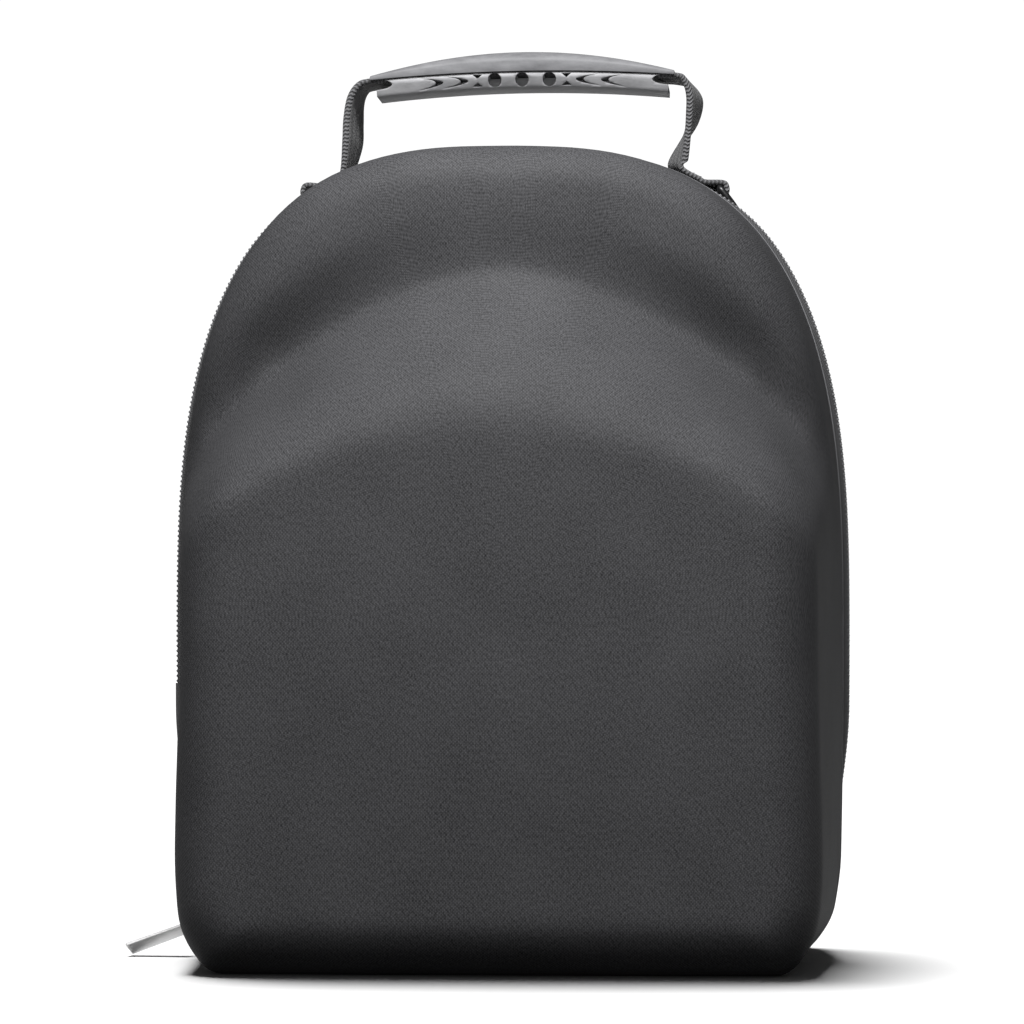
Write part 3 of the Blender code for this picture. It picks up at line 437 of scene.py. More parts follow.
def ribbed_cloth(name, dark, light, rib_pitch, column_width, relief):
    """Woven tape or webbing: ribs across it, broken by slanting threads, on its own lengthwise map."""
    material, tree, shader = new_material(name, light, 0.75, sheen=0.08)
    uv = add_node(tree, "ShaderNodeUVMap", {"uv_map": "cloth"}).outputs["UV"]
    parts = add_node(tree, "ShaderNodeSeparateXYZ", links={"Vector": uv}).outputs
    # A chevron: the slant of the threads turns at each column
    column = add_node(
        tree, "ShaderNodeMath", {"operation": "PINGPONG"}, {0: parts["Y"]}, {1: column_width},
    ).outputs[0]
    slanted = add_node(tree, "ShaderNodeMath", {"operation": "ADD"}, {0: parts["X"], 1: column}).outputs[0]
    rib = ridges(tree, slanted, rib_pitch)
    seam = weighted_sum(tree, 0.5, (ridges(tree, parts["Y"], column_width), 0.5))
    weave = add_node(tree, "ShaderNodeMath", {"operation": "MULTIPLY"}, {0: rib, 1: seam}).outputs[0]
    fibre = add_node(
        tree, "ShaderNodeTexNoise", links={"Vector": uv}, values={"Scale": TAPE_FIBRES, "Detail": 2.0},
    ).outputs["Fac"]
    height = weighted_sum(tree, 0.0, (weave, 1.0), (fibre, 0.3))
    ramp = add_node(
        tree, "ShaderNodeValToRGB", links={"Fac": height}, stops=((0.05, dark), (1.0, light)),
    )
    bump = add_node(
        tree, "ShaderNodeBump", links={"Height": height}, values={"Distance": relief, "Strength": 1.0},
    )
    feed(tree, shader, {"Base Color": ramp.outputs["Color"], "Normal": bump.outputs["Normal"]})
    return material


def coil_plastic():
    """Polyester monofilament coil: black, glossy from drawing, so that each turn catches the light."""
    material, tree, shader = new_material("drawn_polyester_coil", "#4a4a4c", 0.28)
    spot = add_node(tree, "ShaderNodeTexCoord").outputs["Object"]
    wear = add_node(tree, "ShaderNodeTexNoise", links={"Vector": spot}, values={"Scale": COIL_MARKS})
    ramp = add_node(
        tree, "ShaderNodeValToRGB", links={"Fac": wear.outputs["Fac"]},
        stops=((0.0, "#303032"), (1.0, "#6c6c6e")),
    )
    feed(tree, shader, {"Base Color": ramp.outputs["Color"]})
    return material


def moulded_rubber(name, dark, light):
    """Thermoplastic rubber grip: mid grey, satin, faintly mottled by handling."""
    material, tree, shader = new_material(name, light, 0.6, specular=0.25)
    spot = add_node(tree, "ShaderNodeTexCoord").outputs["Object"]
    stretched = add_node(
        tree, "ShaderNodeMapping", links={"Vector": spot}, values={"Scale": (1.0, 1.0, 3.0)},
    ).outputs["Vector"]
    mottle = add_node(
        tree, "ShaderNodeTexNoise", links={"Vector": stretched},
        values={"Scale": RUBBER_MOTTLES, "Detail": 6.0, "Roughness": 0.65},
    ).outputs["Fac"]
    grain = add_node(
        tree, "ShaderNodeTexNoise", links={"Vector": spot}, values={"Scale": RUBBER_GRAINS, "Detail": 2.0},
    ).outputs["Fac"]
    ramp = add_node(tree, "ShaderNodeValToRGB", links={"Fac": mottle}, stops=((0.3, dark), (0.7, light)))
    bump = add_node(
        tree, "ShaderNodeBump", links={"Height": grain}, values={"Distance": 0.05 * MM, "Strength": 0.6},
    )
    feed(tree, shader, {
        "Base Color": ramp.outputs["Color"],
        "Roughness": weighted_sum(tree, 0.5, (mottle, 0.25)),
        "Normal": bump.outputs["Normal"],
    })
    return material


def metal(name, dark, light, roughness, metallic, scratch):
    """Plated or lacquered metal, with fine handling marks in its gloss."""
    material, tree, shader = new_material(name, light, roughness, metallic)
    spot = add_node(tree, "ShaderNodeTexCoord").outputs["Object"]
    drawn = add_node(
        tree, "ShaderNodeMapping", links={"Vector": spot}, values={"Scale": (1.0, 12.0, 1.0)},
    ).outputs["Vector"]
    marks = add_node(
        tree, "ShaderNodeTexNoise", links={"Vector": drawn},
        values={"Scale": METAL_MARKS, "Detail": 5.0, "Roughness": 0.7},
    ).outputs["Fac"]
    ramp = add_node(tree, "ShaderNodeValToRGB", links={"Fac": marks}, stops=((0.3, dark), (0.7, light)))
    feed(tree, shader, {
        "Base Color": ramp.outputs["Color"],
        "Roughness": weighted_sum(tree, roughness, (marks, scratch)),
    })
    return material


def make_materials():
    """All the case's materials by name. Ribs and columns of the woven ones are real sizes."""
    return {
        "shell": shell_cloth(),
        # Zip tape: a close twill, ribs 0.9 mm apart, that reads as plain dark cloth
        "tape": ribbed_cloth("woven_zip_tape", "#0e0e0f", "#333335", 0.9 * MM, 1.6 * MM, 0.12 * MM),
        # Webbing: herringbone, ribs 1.5 mm apart, that shows its chevrons
        "webbing": ribbed_cloth("herringbone_webbing", "#080808", "#505052", 1.5 * MM, 3.1 * MM, 0.5 * MM),
        # Thread and the shells' turned edge: fine twists that catch a little light. The edge's paler grey is a
        # painted highlight along the rims
        "thread": ribbed_cloth("twisted_polyester_thread", "#141415", "#3c3c3e", 0.5 * MM, 1 * MM, 0.05 * MM),
        "edge": ribbed_cloth("rolled_cloth_edge", "#343436", "#77777a", 0.6 * MM, 1 * MM, 0.05 * MM),
        "coil": coil_plastic(),
        # The lower half leans away from the light, and its rubber is a paler grey so that it still shows
        "rubber_top": moulded_rubber("moulded_rubber_upper_half", "#48484a", "#646466"),
        "rubber_bottom": moulded_rubber("moulded_rubber_lower_half", "#8c8c8e", "#b0b0b2"),
        # Lacquer hides the steel and is nearly black, and the nickel is pale, satin and softly marked
        "lacquer": metal("black_lacquered_steel", "#0f0f10", "#1d1d1e", 0.3, 0.4, 0.15),
        "nickel": metal("brushed_nickel_plate", "#c2c2c2", "#d4d4d4", 0.48, 1.0, 0.12),
    }


# Mesh building

def link_object(name, data):
    """New object in the scene."""
    thing = bpy.data.objects.new(name, data)
    bpy.context.scene.collection.objects.link(thing)
    return thing


def plain_mesh(name, work):
    """Mesh of what a bmesh holds, which is freed."""
    mesh = bpy.data.meshes.new(name)
    work.to_mesh(mesh)
    work.free()
    return mesh


def evaluated_mesh(name, holder, *helpers):
    """Mesh of an object with its modifiers run. The object and its helpers are removed."""
    bpy.context.view_layer.update()
    evaluated = holder.evaluated_get(bpy.context.evaluated_depsgraph_get())
    result = bpy.data.meshes.new_from_object(evaluated)
    result.name = name
    for thing in (holder, *helpers):
        bpy.data.objects.remove(thing)
    return result


def new_piece(name, mesh, material, body, replaces=(), sharp=35 * DEGREE):
    """Link a finished mesh as a piece of the case, on its body, and hide the parts that it stands for."""
    piece = link_object(name, mesh)
    mesh.materials.clear()
    mesh.materials.append(material)
    mesh.shade_smooth()
    mesh.set_sharp_from_angle(angle=sharp)
    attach(piece, body)
    if replaces:
        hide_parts(*replaces)
    return piece


def grid_mesh(name, columns, uvs=None, ring=False, merge=0.0):
    """Mesh through columns of points, with a map in metres, closed round where it is a ring."""
    count = len(columns)
    rows = len(columns[0])
    mesh = bpy.data.meshes.new(name)
    points = [point for column in columns for point in column]
    faces = []
    for column in range(count if ring else count - 1):
        here = column * rows
        there = (column + 1) % count * rows
        for row in range(rows - 1):
            faces.append((here + row, there + row, there + row + 1, here + row + 1))
    mesh.from_pydata([tuple(point) for point in points], [], faces)
    if uvs:
        layer = mesh.uv_layers.new(name="cloth")
        flat = [uv for column in uvs for uv in column]
        for loop in mesh.loops:
            layer.data[loop.index].uv = flat[loop.vertex_index]
    if merge:
        work = bmesh.new()
        work.from_mesh(mesh)
        bmesh.ops.remove_doubles(work, verts=work.verts, dist=merge)
        work.to_mesh(mesh)
        work.free()
    return mesh


def finish_modifiers(mesh, name, *steps):
    """Run modifiers on a mesh and return the plain result."""
    holder = link_object(name + "_work", mesh)
    for kind, settings in steps:
        modifier = holder.modifiers.new(kind.lower(), kind)
        for key, value in settings.items():
            setattr(modifier, key, value)
    return evaluated_mesh(name, holder)


def wall_step(thickness, offset):
    """Solidify step."""
    return ("SOLIDIFY", {"thickness": thickness, "offset": offset, "use_even_offset": True})


# Shells

def dome_point(angle):
    """Point of the domed outline in one direction from the middle of the widest line."""
    across = abs(math.cos(angle)) / HALF_WIDTH
    up = abs(math.sin(angle)) / (RIM_TOP - WIDEST_HEIGHT)
    reach = (across ** DOME_POWER + up ** DOME_POWER) ** (-1 / DOME_POWER)
    return reach * math.cos(angle), WIDEST_HEIGHT + reach * math.sin(angle)


def corner_point(angle):
    """Point of the right lower corner's arc, at an angle below the horizontal."""
    return CORNER_X + CORNER_RADIUS * math.cos(angle), CORNER_RADIUS * (1 - math.sin(angle))


def side_point(share):
    """Point of the right side, from the corner's arc up to the widest line."""
    x = HALF_WIDTH - FOOT_TAPER * (1 - share) ** 2
    return x, blend(CORNER_RADIUS, WIDEST_HEIGHT, share)


def foot_rounding(x, z):
    """How far the right lower corner is drawn in at a place."""
    low = ease(1 - z / FOOT_ROUNDING_HEIGHT)
    aside = ease((x - (HALF_WIDTH - FOOT_ROUNDING_REACH)) / FOOT_ROUNDING_REACH)
    return FOOT_ROUNDING * low * aside


def rim_outline():
    """Points and outward normals of the rims, anticlockwise from the middle of the base."""
    half = [(CORNER_X * step / BASE_COLUMNS, 0.0) for step in range(BASE_COLUMNS)]
    quarter = math.pi / 2
    half += [corner_point(quarter * (1 - step / CORNER_COLUMNS)) for step in range(CORNER_COLUMNS)]
    half += [side_point(step / SIDE_COLUMNS) for step in range(SIDE_COLUMNS)]
    half += [dome_point(quarter * step / DOME_COLUMNS) for step in range(DOME_COLUMNS + 1)]
    half = [(x - foot_rounding(x, z), z) for x, z in half]
    points = half + [(-x, z) for x, z in reversed(half[1:-1])]
    rims = []
    for index, (x, z) in enumerate(points):
        before = points[index - 1]
        after = points[(index + 1) % len(points)]
        run = Vector((after[0] - before[0], after[1] - before[1])).normalized()
        rims.append(Rim(x, z, run.y, -run.x))
    return rims


def wall_draft(rim):
    """Angle at which a shell's wall leans in, from the way that its rim faces."""
    side = blend(FOOT_DRAFT, SIDE_DRAFT, ease(rim.z / WIDEST_HEIGHT))
    top = TOP_DRAFT if rim.normal_z > 0 else 0.0
    return side * rim.normal_x ** 2 + top * rim.normal_z ** 2


def crown_reach(x, z):
    """Distance from the crown's middle, height above it, and how far inside its outline, in metres."""
    rise = max(z - CROWN_SHOULDER_HEIGHT, 0.0)
    from_middle = math.hypot(x, rise)
    if from_middle < CROWN_SIDE_SLOPE:
        return from_middle, rise, CROWN_TOP
    across = abs(x) / CROWN_HALF_WIDTH
    up = rise / (CROWN_TOP - CROWN_SHOULDER_HEIGHT)
    reach = (across ** CROWN_POWER + up ** CROWN_POWER) ** (1 / CROWN_POWER)
    return from_middle, rise, from_middle * (1 / reach - 1)


def crown_share(x, z):
    """How far a place has climbed from the valley round the crown: 0 outside it, 1 on the crown."""
    from_middle, rise, within = crown_reach(x, z)
    if from_middle < CROWN_SIDE_SLOPE:
        return 1.0
    slope = blend(CROWN_SIDE_SLOPE, CROWN_TOP_SLOPE, (rise / from_middle) ** SLOPE_TURN)
    climb = min(max(within / slope, 0.0), 1.0)
    return 1 - (1 - climb ** VALLEY_POWER) ** SHOULDER_POWER


def groove(x, z):
    """Depth of the hollow that the peak face falls into beside the crown, deepest at its sides."""
    _, _, within = crown_reach(x, z)
    aside = ease((abs(x) - GROOVE_FADE_NEAR) / (GROOVE_FADE_FAR - GROOVE_FADE_NEAR))
    near = ease(1 + min(within, 0.0) / GROOVE_WIDTH)
    return GROOVE_DEPTH * blend(GROOVE_MIDDLE_SHARE, 1.0, aside) * near


def front_face(x, z):
    """Depth of the front face and radius of the edge beside it, at a place."""
    share = crown_share(x, z)
    across = x / HALF_WIDTH
    crown = CROWN_DEPTH - CROWN_DOMING * (across ** 2 + (z / CROWN_TOP - 0.5) ** 2)
    peak = PEAK_DEPTH - PEAK_SIDE_FALL * across ** 2 - groove(x, z)
    return blend(peak, crown, share), blend(PEAK_EDGE_RADIUS, CROWN_EDGE_RADIUS, share)


def back_face(x, z):
    """Depth of the back face and radius of its edge, at a place."""
    doming = BACK_DOMING * ((x / HALF_WIDTH) ** 2 + (z / RIM_TOP - 0.5) ** 2)
    return BACK_DEPTH - doming, BACK_EDGE_RADIUS


def edge_height(inset, full, radius, draft):
    """Depth at an inset from the rim, where a leaning wall rounds over to a face of full depth."""
    radius = min(radius, MOST_EDGE * full)
    face_start = (full - radius) * math.tan(draft) + radius / math.cos(draft)
    wall_end = face_start - radius * math.cos(draft)
    if inset >= face_start:
        return full
    if inset <= wall_end:
        return inset / math.tan(draft) if draft > 0 else full - radius
    return full - radius + math.sqrt(radius ** 2 - (face_start - inset) ** 2)


def shell_profile(rim, face, rows):
    """Points of one column from the rim to the middle of the face, with their map."""
    to_middle = Vector((-rim.x, WIDEST_HEIGHT - rim.z))
    outward = -to_middle.normalized()
    square = abs(outward @ Vector((rim.normal_x, rim.normal_z)))
    draft = wall_draft(rim)
    dense = [Vector((rim.x, rim.z, 0.0)), Vector((rim.x, rim.z, RIM_LIP))]
    for sample in range(PROFILE_SAMPLES + 1):
        share = (sample / PROFILE_SAMPLES) ** SAMPLE_CROWDING
        x = rim.x + to_middle.x * share
        z = rim.z + to_middle.y * share
        full, radius = face(x, z)
        inset = to_middle.length * share * square
        depth = RIM_LIP + edge_height(inset, full - RIM_LIP, radius, draft)
        dense.append(Vector((x, z, depth)))
    measure = [0.0]
    length = [0.0]
    heading = Vector((0, 0, 1))
    for low, high in zip(dense, dense[1:]):
        step = high - low
        turn = heading.angle(step, 0.0) if step.length > 0 else 0.0
        heading = step if step.length > 0 else heading
        measure.append(measure[-1] + step.length + BEND_WEIGHT * turn)
        length.append(length[-1] + step.length)
    points = []
    maps = []
    index = 1
    for row in range(rows + 1):
        wanted = measure[-1] * row / rows
        while index < len(measure) - 1 and measure[index] < wanted:
            index += 1
        share = (wanted - measure[index - 1]) / (measure[index] - measure[index - 1])
        points.append(dense[index - 1].lerp(dense[index], share))
        from_middle = length[-1] - blend(length[index - 1], length[index], share)
        maps.append((outward.x * from_middle, outward.y * from_middle))
    return points, maps


def shell_mesh(name, face, rows, rim_y, side):
    """Moulded shell with its wall's thickness."""
    columns = []
    maps = []
    for rim in rim_outline():
        profile, column_map = shell_profile(rim, face, rows)
        columns.append([Vector((x, rim_y + side * depth, z)) for x, z, depth in profile])
        maps.append(column_map)
    if side == BACK:
        columns = columns[::-1]
        maps = maps[::-1]
    mesh = grid_mesh(name, columns, maps, ring=True, merge=0.001 * MM)
    even_out(mesh, rim_y)
    ripple(mesh, rim_y)
    return finish_modifiers(mesh, name, wall_step(SHELL_WALL, -1))


def even_out(mesh, rim_y):
    """Even out the small steps between neighbouring columns, away from the sewn rim and the base."""
    work = bmesh.new()
    work.from_mesh(mesh)
    free = [vert for vert in work.verts if abs(vert.co.y - rim_y) > RIM_LIP and vert.co.z > SHELL_WALL]
    for _ in range(SMOOTHING_ROUNDS):
        bmesh.ops.smooth_vert(
            work, verts=free, factor=0.5, use_axis_x=True, use_axis_y=True, use_axis_z=True,
        )
    work.to_mesh(mesh)
    work.free()


def ripple(mesh, rim_y):
    """Slight unevenness of the cloth, fading out at the sewn rim and on the flat base."""
    normals = [vertex.normal.copy() for vertex in mesh.vertices]
    for vertex, normal in zip(mesh.vertices, normals):
        from_rim = ease(abs(vertex.co.y - rim_y) / (4 * RIM_LIP))
        from_floor = ease(vertex.co.z / CORNER_RADIUS)
        height = noise.noise(vertex.co / WAVE_LENGTH) + 0.5 * noise.noise(vertex.co * 2.3 / WAVE_LENGTH)
        vertex.co += normal * height * WAVE_HEIGHT * from_rim * from_floor


def build_shells(looks):
    """Both shells, each standing for its solid."""
    front = shell_mesh("front_shell_cloth", front_face, FRONT_ROWS, FRONT_RIM_Y, FRONT)
    new_piece("front_shell_cloth", front, looks["shell"], "case", ("front_shell",))
    back = shell_mesh("back_shell_cloth", back_face, BACK_ROWS, BACK_RIM_Y, BACK)
    new_piece("back_shell_cloth", back, looks["shell"], "case", ("back_shell",))


# Zip band

def band_rims():
    """The stretch of the outline that the zip follows, from the right lower corner to the left."""
    return rim_outline()[BASE_COLUMNS:-BASE_COLUMNS + 1]


def band_bulge(x, z):
    """How far the zip's teeth stand out from the shells' rims: most at the sides, least over the top."""
    share = ease((z - BULGE_FADE_LOW) / (BULGE_FADE_HIGH - BULGE_FADE_LOW))
    aside = ease((abs(x) - TOP_FADE_NEAR) / (TOP_FADE_FAR - TOP_FADE_NEAR))
    return blend(-CORNER_SINK, blend(TOP_BULGE, BAND_BULGE, aside), share)


def band_point(rim, offset, y):
    """Place at a distance out from the rims' outline."""
    return Vector((rim.x + rim.normal_x * offset, y, rim.z + rim.normal_z * offset))


def tape_section(rim):
    """Smooth line across one tape, from its sewn edge inside the shell to the teeth."""
    sewn = -(SHELL_WALL + GAP + TAPE_THICKNESS / 2)
    teeth = band_bulge(rim.x, rim.z) - CHAIN_THICKNESS / 2
    inner = CHAIN_WIDTH / 4
    start = BAND_HALF - TAPE_THICKNESS
    section = [(sewn, BAND_HALF + TAPE_TUCK)]
    for step in range(TAPE_SPANS + 1):
        share = step / TAPE_SPANS
        rise = math.sin(share * math.pi / 2) ** TAPE_ROUNDING
        section.append((blend(sewn, teeth, rise), blend(start, inner, share)))
    return section


def build_tapes(looks):
    """The zip's two woven tapes."""
    for name, side in (("front", FRONT), ("back", BACK)):
        columns = []
        maps = []
        along = 0.0
        before = None
        for rim in band_rims():
            here = Vector((rim.x, rim.z))
            along += (here - before).length if before else 0.0
            before = here
            section = tape_section(rim)
            columns.append([band_point(rim, offset, ZIP_Y + side * away) for offset, away in section])
            maps.append([(along, away) for _, away in section])
        mesh = grid_mesh(f"zip_tape_{name}_cloth", columns, maps)
        mesh = finish_modifiers(mesh, mesh.name, wall_step(TAPE_THICKNESS, 0))
        new_piece(mesh.name, mesh, looks["tape"], "case", (f"zip_tape_{name}",))


def instance_tree(name, pitch, material):
    """Geometry Nodes: a piece of thread or a tooth, laid along each path and made real."""
    tree = bpy.data.node_groups.new(name, "GeometryNodeTree")
    tree.interface.new_socket("Geometry", in_out="INPUT", socket_type="NodeSocketGeometry")
    pitch_socket = tree.interface.new_socket("Pitch", in_out="INPUT", socket_type="NodeSocketFloat")
    item_socket = tree.interface.new_socket("Item", in_out="INPUT", socket_type="NodeSocketObject")
    tree.interface.new_socket("Geometry", in_out="OUTPUT", socket_type="NodeSocketGeometry")
    entry = add_node(tree, "NodeGroupInput")
    curve = add_node(tree, "GeometryNodeMeshToCurve", links={"Mesh": entry.outputs["Geometry"]})
    spaced = add_node(
        tree, "GeometryNodeCurveToPoints", {"mode": "LENGTH"},
        links={"Curve": curve.outputs["Curve"], "Length": entry.outputs["Pitch"]},
    )
    outward = add_node(
        tree, "GeometryNodeInputNamedAttribute", {"data_type": "FLOAT_VECTOR"}, values={"Name": "outward"},
    )
    along = add_node(
        tree, "FunctionNodeAlignRotationToVector", {"axis": "X"},
        links={"Vector": spaced.outputs["Tangent"]},
    )
    upright = add_node(
        tree, "FunctionNodeAlignRotationToVector", {"axis": "Z", "pivot_axis": "X"},
        links={"Rotation": along.outputs["Rotation"], "Vector": outward.outputs["Attribute"]},
    )
    item = add_node(tree, "GeometryNodeObjectInfo", links={"Object": entry.outputs["Item"]})
    laid = add_node(
        tree, "GeometryNodeInstanceOnPoints",
        links={
            "Points": spaced.outputs["Points"],
            "Instance": item.outputs["Geometry"],
            "Rotation": upright.outputs["Rotation"],
        },
    )
    real = add_node(tree, "GeometryNodeRealizeInstances", links={"Geometry": laid.outputs["Instances"]})
    painted = add_node(
        tree, "GeometryNodeSetMaterial", links={"Geometry": real.outputs["Geometry"]},
        values={"Material": material},
    )
    leave = add_node(tree, "NodeGroupOutput")
    tree.links.new(painted.outputs["Geometry"], leave.inputs["Geometry"])
    return tree, {pitch_socket.identifier: pitch}, item_socket.identifier


def lay_along(name, paths, pitch, item_mesh, material):
    """Mesh of one item repeated along paths, each a list of places with their outward directions."""
    mesh = bpy.data.meshes.new(name + "_path")
    points = []
    edges = []
    outs = []
    for path in paths:
        start = len(points)
        points += [tuple(place) for place, _ in path]
        outs += [tuple(out) for _, out in path]
        edges += [(start + step, start + step + 1) for step in range(len(path) - 1)]
    mesh.from_pydata(points, edges, [])
    attribute = mesh.attributes.new("outward", "FLOAT_VECTOR", "POINT")
    for data, out in zip(attribute.data, outs):
        data.vector = out
    tree, values, item_identifier = instance_tree(name + "_tree", pitch, material)
    item = link_object(name + "_item", item_mesh)
    holder = link_object(name + "_work", mesh)
    modifier = holder.modifiers.new("repeat", "NODES")
    modifier.node_group = tree
    for identifier, value in values.items():
        modifier[identifier] = value
    modifier[item_identifier] = item
    return evaluated_mesh(name, holder, item)


def capsule_mesh(name, length, radius, bow=0.0):
    """Short rounded length of thread, along X, bowed outwards."""
    sides = 6
    # Each ring's place as a share of the length, and its radius as a share of the thread's
    places = ((-0.5, 0.35), (-0.42, 0.85), (0.0, 1.0), (0.42, 0.85), (0.5, 0.35))
    work = bmesh.new()
    rings = []
    for share, width in places:
        ring = []
        rise = bow * (1 - (2 * share) ** 2)
        for side in range(sides):
            turn = 2 * math.pi * side / sides
            y = radius * width * math.cos(turn)
            z = radius * width * math.sin(turn) + rise
            ring.append(work.verts.new((share * length, y, z)))
        rings.append(ring)
    for low, high in zip(rings, rings[1:]):
        for side in range(sides):
            after = (side + 1) % sides
            work.faces.new((low[side], low[after], high[after], high[side]))
    work.faces.new(rings[0][::-1])
    work.faces.new(rings[-1])
    bmesh.ops.recalc_face_normals(work, faces=work.faces)
    return plain_mesh(name, work)


def tooth_mesh():
    """One turn of the coil on each side of the zip's middle, seen from outside."""
    work = bmesh.new()
    upright = Matrix.Rotation(math.pi / 2, 4, "X")
    flat = Matrix.Diagonal(COIL_FLATTENING)
    for side in (FRONT, BACK):
        shift = side * TOOTH_PITCH / 4
        turns = bmesh.ops.create_cone(
            work, cap_ends=True, segments=COIL_SIDES, radius1=TOOTH_WIDTH / 2,
            radius2=TOOTH_WIDTH / 2, depth=TOOTH_LENGTH,
        )["verts"]
        place = Matrix.Translation((shift, side * TOOTH_LENGTH * COIL_TURN_PLACE, 0))
        bmesh.ops.transform(work, matrix=place @ flat @ upright, verts=turns)
        head = bmesh.ops.create_uvsphere(
            work, u_segments=COIL_SIDES, v_segments=4, radius=TOOTH_WIDTH * COIL_HEAD_SIZE,
        )["verts"]
        bmesh.ops.translate(work, vec=(shift, side * TOOTH_LENGTH * COIL_HEAD_PLACE, 0), verts=head)
    return plain_mesh("tooth", work)


def band_path(offset_of, y, low_left=0.0):
    """Places and outward directions along the zip's band, at an offset that a function gives."""
    path = []
    for rim in band_rims():
        if rim.x > 0 or rim.z > low_left:
            path.append((band_point(rim, offset_of(rim), y), Vector((rim.normal_x, 0, rim.normal_z))))
    return path


def build_teeth(looks):
    """The closed coil along the ridge of the band."""
    path = band_path(
        lambda rim: band_bulge(rim.x, rim.z) - CHAIN_THICKNESS / 2, ZIP_Y, low_left=COIL_START,
    )
    mesh = lay_along("zip_coil", [path], TOOTH_PITCH, tooth_mesh(), looks["coil"])
    new_piece("zip_coil", mesh, looks["coil"], "case", ("zip_chain",))


def seam_offset(rim):
    """How far out from the rims' outline a row of stitches lies on a tape."""
    section = tape_section(rim)
    for (low_offset, low_away), (high_offset, high_away) in zip(section[1:], section[2:]):
        if low_away >= SEAM_PLACE >= high_away:
            share = (low_away - SEAM_PLACE) / (low_away - high_away)
            return blend(low_offset, high_offset, share) + TAPE_THICKNESS / 2
    return section[-1][0]


def build_stitches(looks):
    """Lockstitches along both tapes, just outside the shells' rims."""
    stitch = capsule_mesh("stitch", STITCH_LENGTH, THREAD_RADIUS, bow=STITCH_BOW)
    paths = [band_path(seam_offset, ZIP_Y + side * SEAM_PLACE) for side in (FRONT, BACK)]
    mesh = lay_along("zip_stitches", paths, STITCH_PITCH, stitch, looks["thread"])
    new_piece("zip_stitches", mesh, looks["thread"], "case")


def tube_mesh(name, path, radius, sides=8, ring=False):
    """Tube along places with outward directions, closed round where it is a ring."""
    columns = []
    maps = []
    along = 0.0
    for index, (place, out) in enumerate(path):
        before = path[index - 1][0] if index or ring else place
        after = path[(index + 1) % len(path)][0] if ring or index + 1 < len(path) else place
        along += (place - path[index - 1][0]).length if index else 0.0
        run = (after - before).normalized()
        side = run.cross(out).normalized()
        up = side.cross(run).normalized()
        column = []
        for step in range(sides + 1):
            turn = 2 * math.pi * step / sides
            column.append(place + (side * math.cos(turn) + up * math.sin(turn)) * radius)
        columns.append(column)
        maps.append([(along, radius * 2 * math.pi * step / sides) for step in range(sides + 1)])
    mesh = grid_mesh(name, columns, maps, ring=ring, merge=0.001 * MM)
    close_ends(mesh)
    return mesh


def build_piping(looks):
    """Rolled cloth edge round each shell's rim, where the cloth is turned in over the foam."""
    for name, side, rim_y in (("front", FRONT, FRONT_RIM_Y), ("back", BACK, BACK_RIM_Y)):
        path = []
        for rim in rim_outline():
            out = Vector((rim.normal_x, 0, rim.normal_z))
            lift = ease(rim.z / CORNER_RADIUS)
            offset = blend(-PIPING_RADIUS - PIPING_FLOOR_GAP, -PIPING_SINK, lift)
            path.append((band_point(rim, offset, rim_y + side * PIPING_SHIFT), out))
        mesh = tube_mesh(f"{name}_rim_edge", path, PIPING_RADIUS, ring=True)
        # The edge's pale grey is a painted highlight along the rim
        new_piece(mesh.name, mesh, looks["edge"], "case")


# Grip

def grip_frame():
    """Grip's frame: origin at the handle's middle on the floor, tilted about its own middle."""
    middle = Matrix.Translation((0, 0, GRIP_PARTING))
    turned = middle @ Matrix.Rotation(-GRIP_TILT, 4, "Y") @ middle.inverted()
    return Matrix.Translation((HANDLE_SHIFT, HANDLE_Y, 0)) @ turned


def grip_arch(height, sag, x):
    """Height of one of the grip's arched lines, at a distance along from its middle."""
    return height - sag * (2 * x / GRIP_LENGTH) ** 2


def grip_top_section(x):
    """Section of the upper half: flat below, low sides and a rounded back."""
    wide = GRIP_WIDTH / 2
    low = grip_arch(GRIP_PARTING, GRIP_PARTING_SAG, x) + GAP / 2
    high = grip_arch(GRIP_TOP, GRIP_TOP_SAG, x)
    shoulder = blend(low, high, GRIP_SHOULDER)
    arc = 20
    section = [Vector((x, -wide, low)), Vector((x, wide, low))]
    for step in range(arc + 1):
        angle = math.pi * step / arc
        round_out = math.copysign(abs(math.cos(angle)) ** GRIP_ROUNDING, math.cos(angle))
        section.append(Vector((x, wide * round_out, blend(shoulder, high, math.sin(angle)))))
    return section


def grip_bottom_section(x):
    """Section of the lower half: flat above, under the upper half's overhang, and leaning in to a keel."""
    wide = GRIP_WIDTH / 2 - GRIP_OVERHANG
    high = grip_arch(GRIP_PARTING, GRIP_PARTING_SAG, x) - GAP / 2
    low = grip_arch(GRIP_BOTTOM, GRIP_BOTTOM_SAG, x)
    lean = 5
    right = [Vector((x, wide, high))]
    for step in range(lean + 1):
        share = step / lean
        z = blend(high - GRIP_LIP, low, share ** GRIP_KEEL_ROUNDING)
        right.append(Vector((x, blend(wide, GRIP_KEEL, share), z)))
    left = [Vector((x, -point.y, point.z)) for point in reversed(right)]
    return right + left


def bar_mesh(name, sections):
    """Closed bar through rings of points that all have the same number of points."""
    work = bmesh.new()
    rings = [[work.verts.new(point) for point in section] for section in sections]
    count = len(sections[0])
    work.faces.new(rings[0])
    work.faces.new(rings[-1])
    for low, high in zip(rings, rings[1:]):
        for corner in range(count):
            after = (corner + 1) % count
            work.faces.new((low[corner], low[after], high[after], high[corner]))
    bmesh.ops.recalc_face_normals(work, faces=work.faces)
    return plain_mesh(name, work)


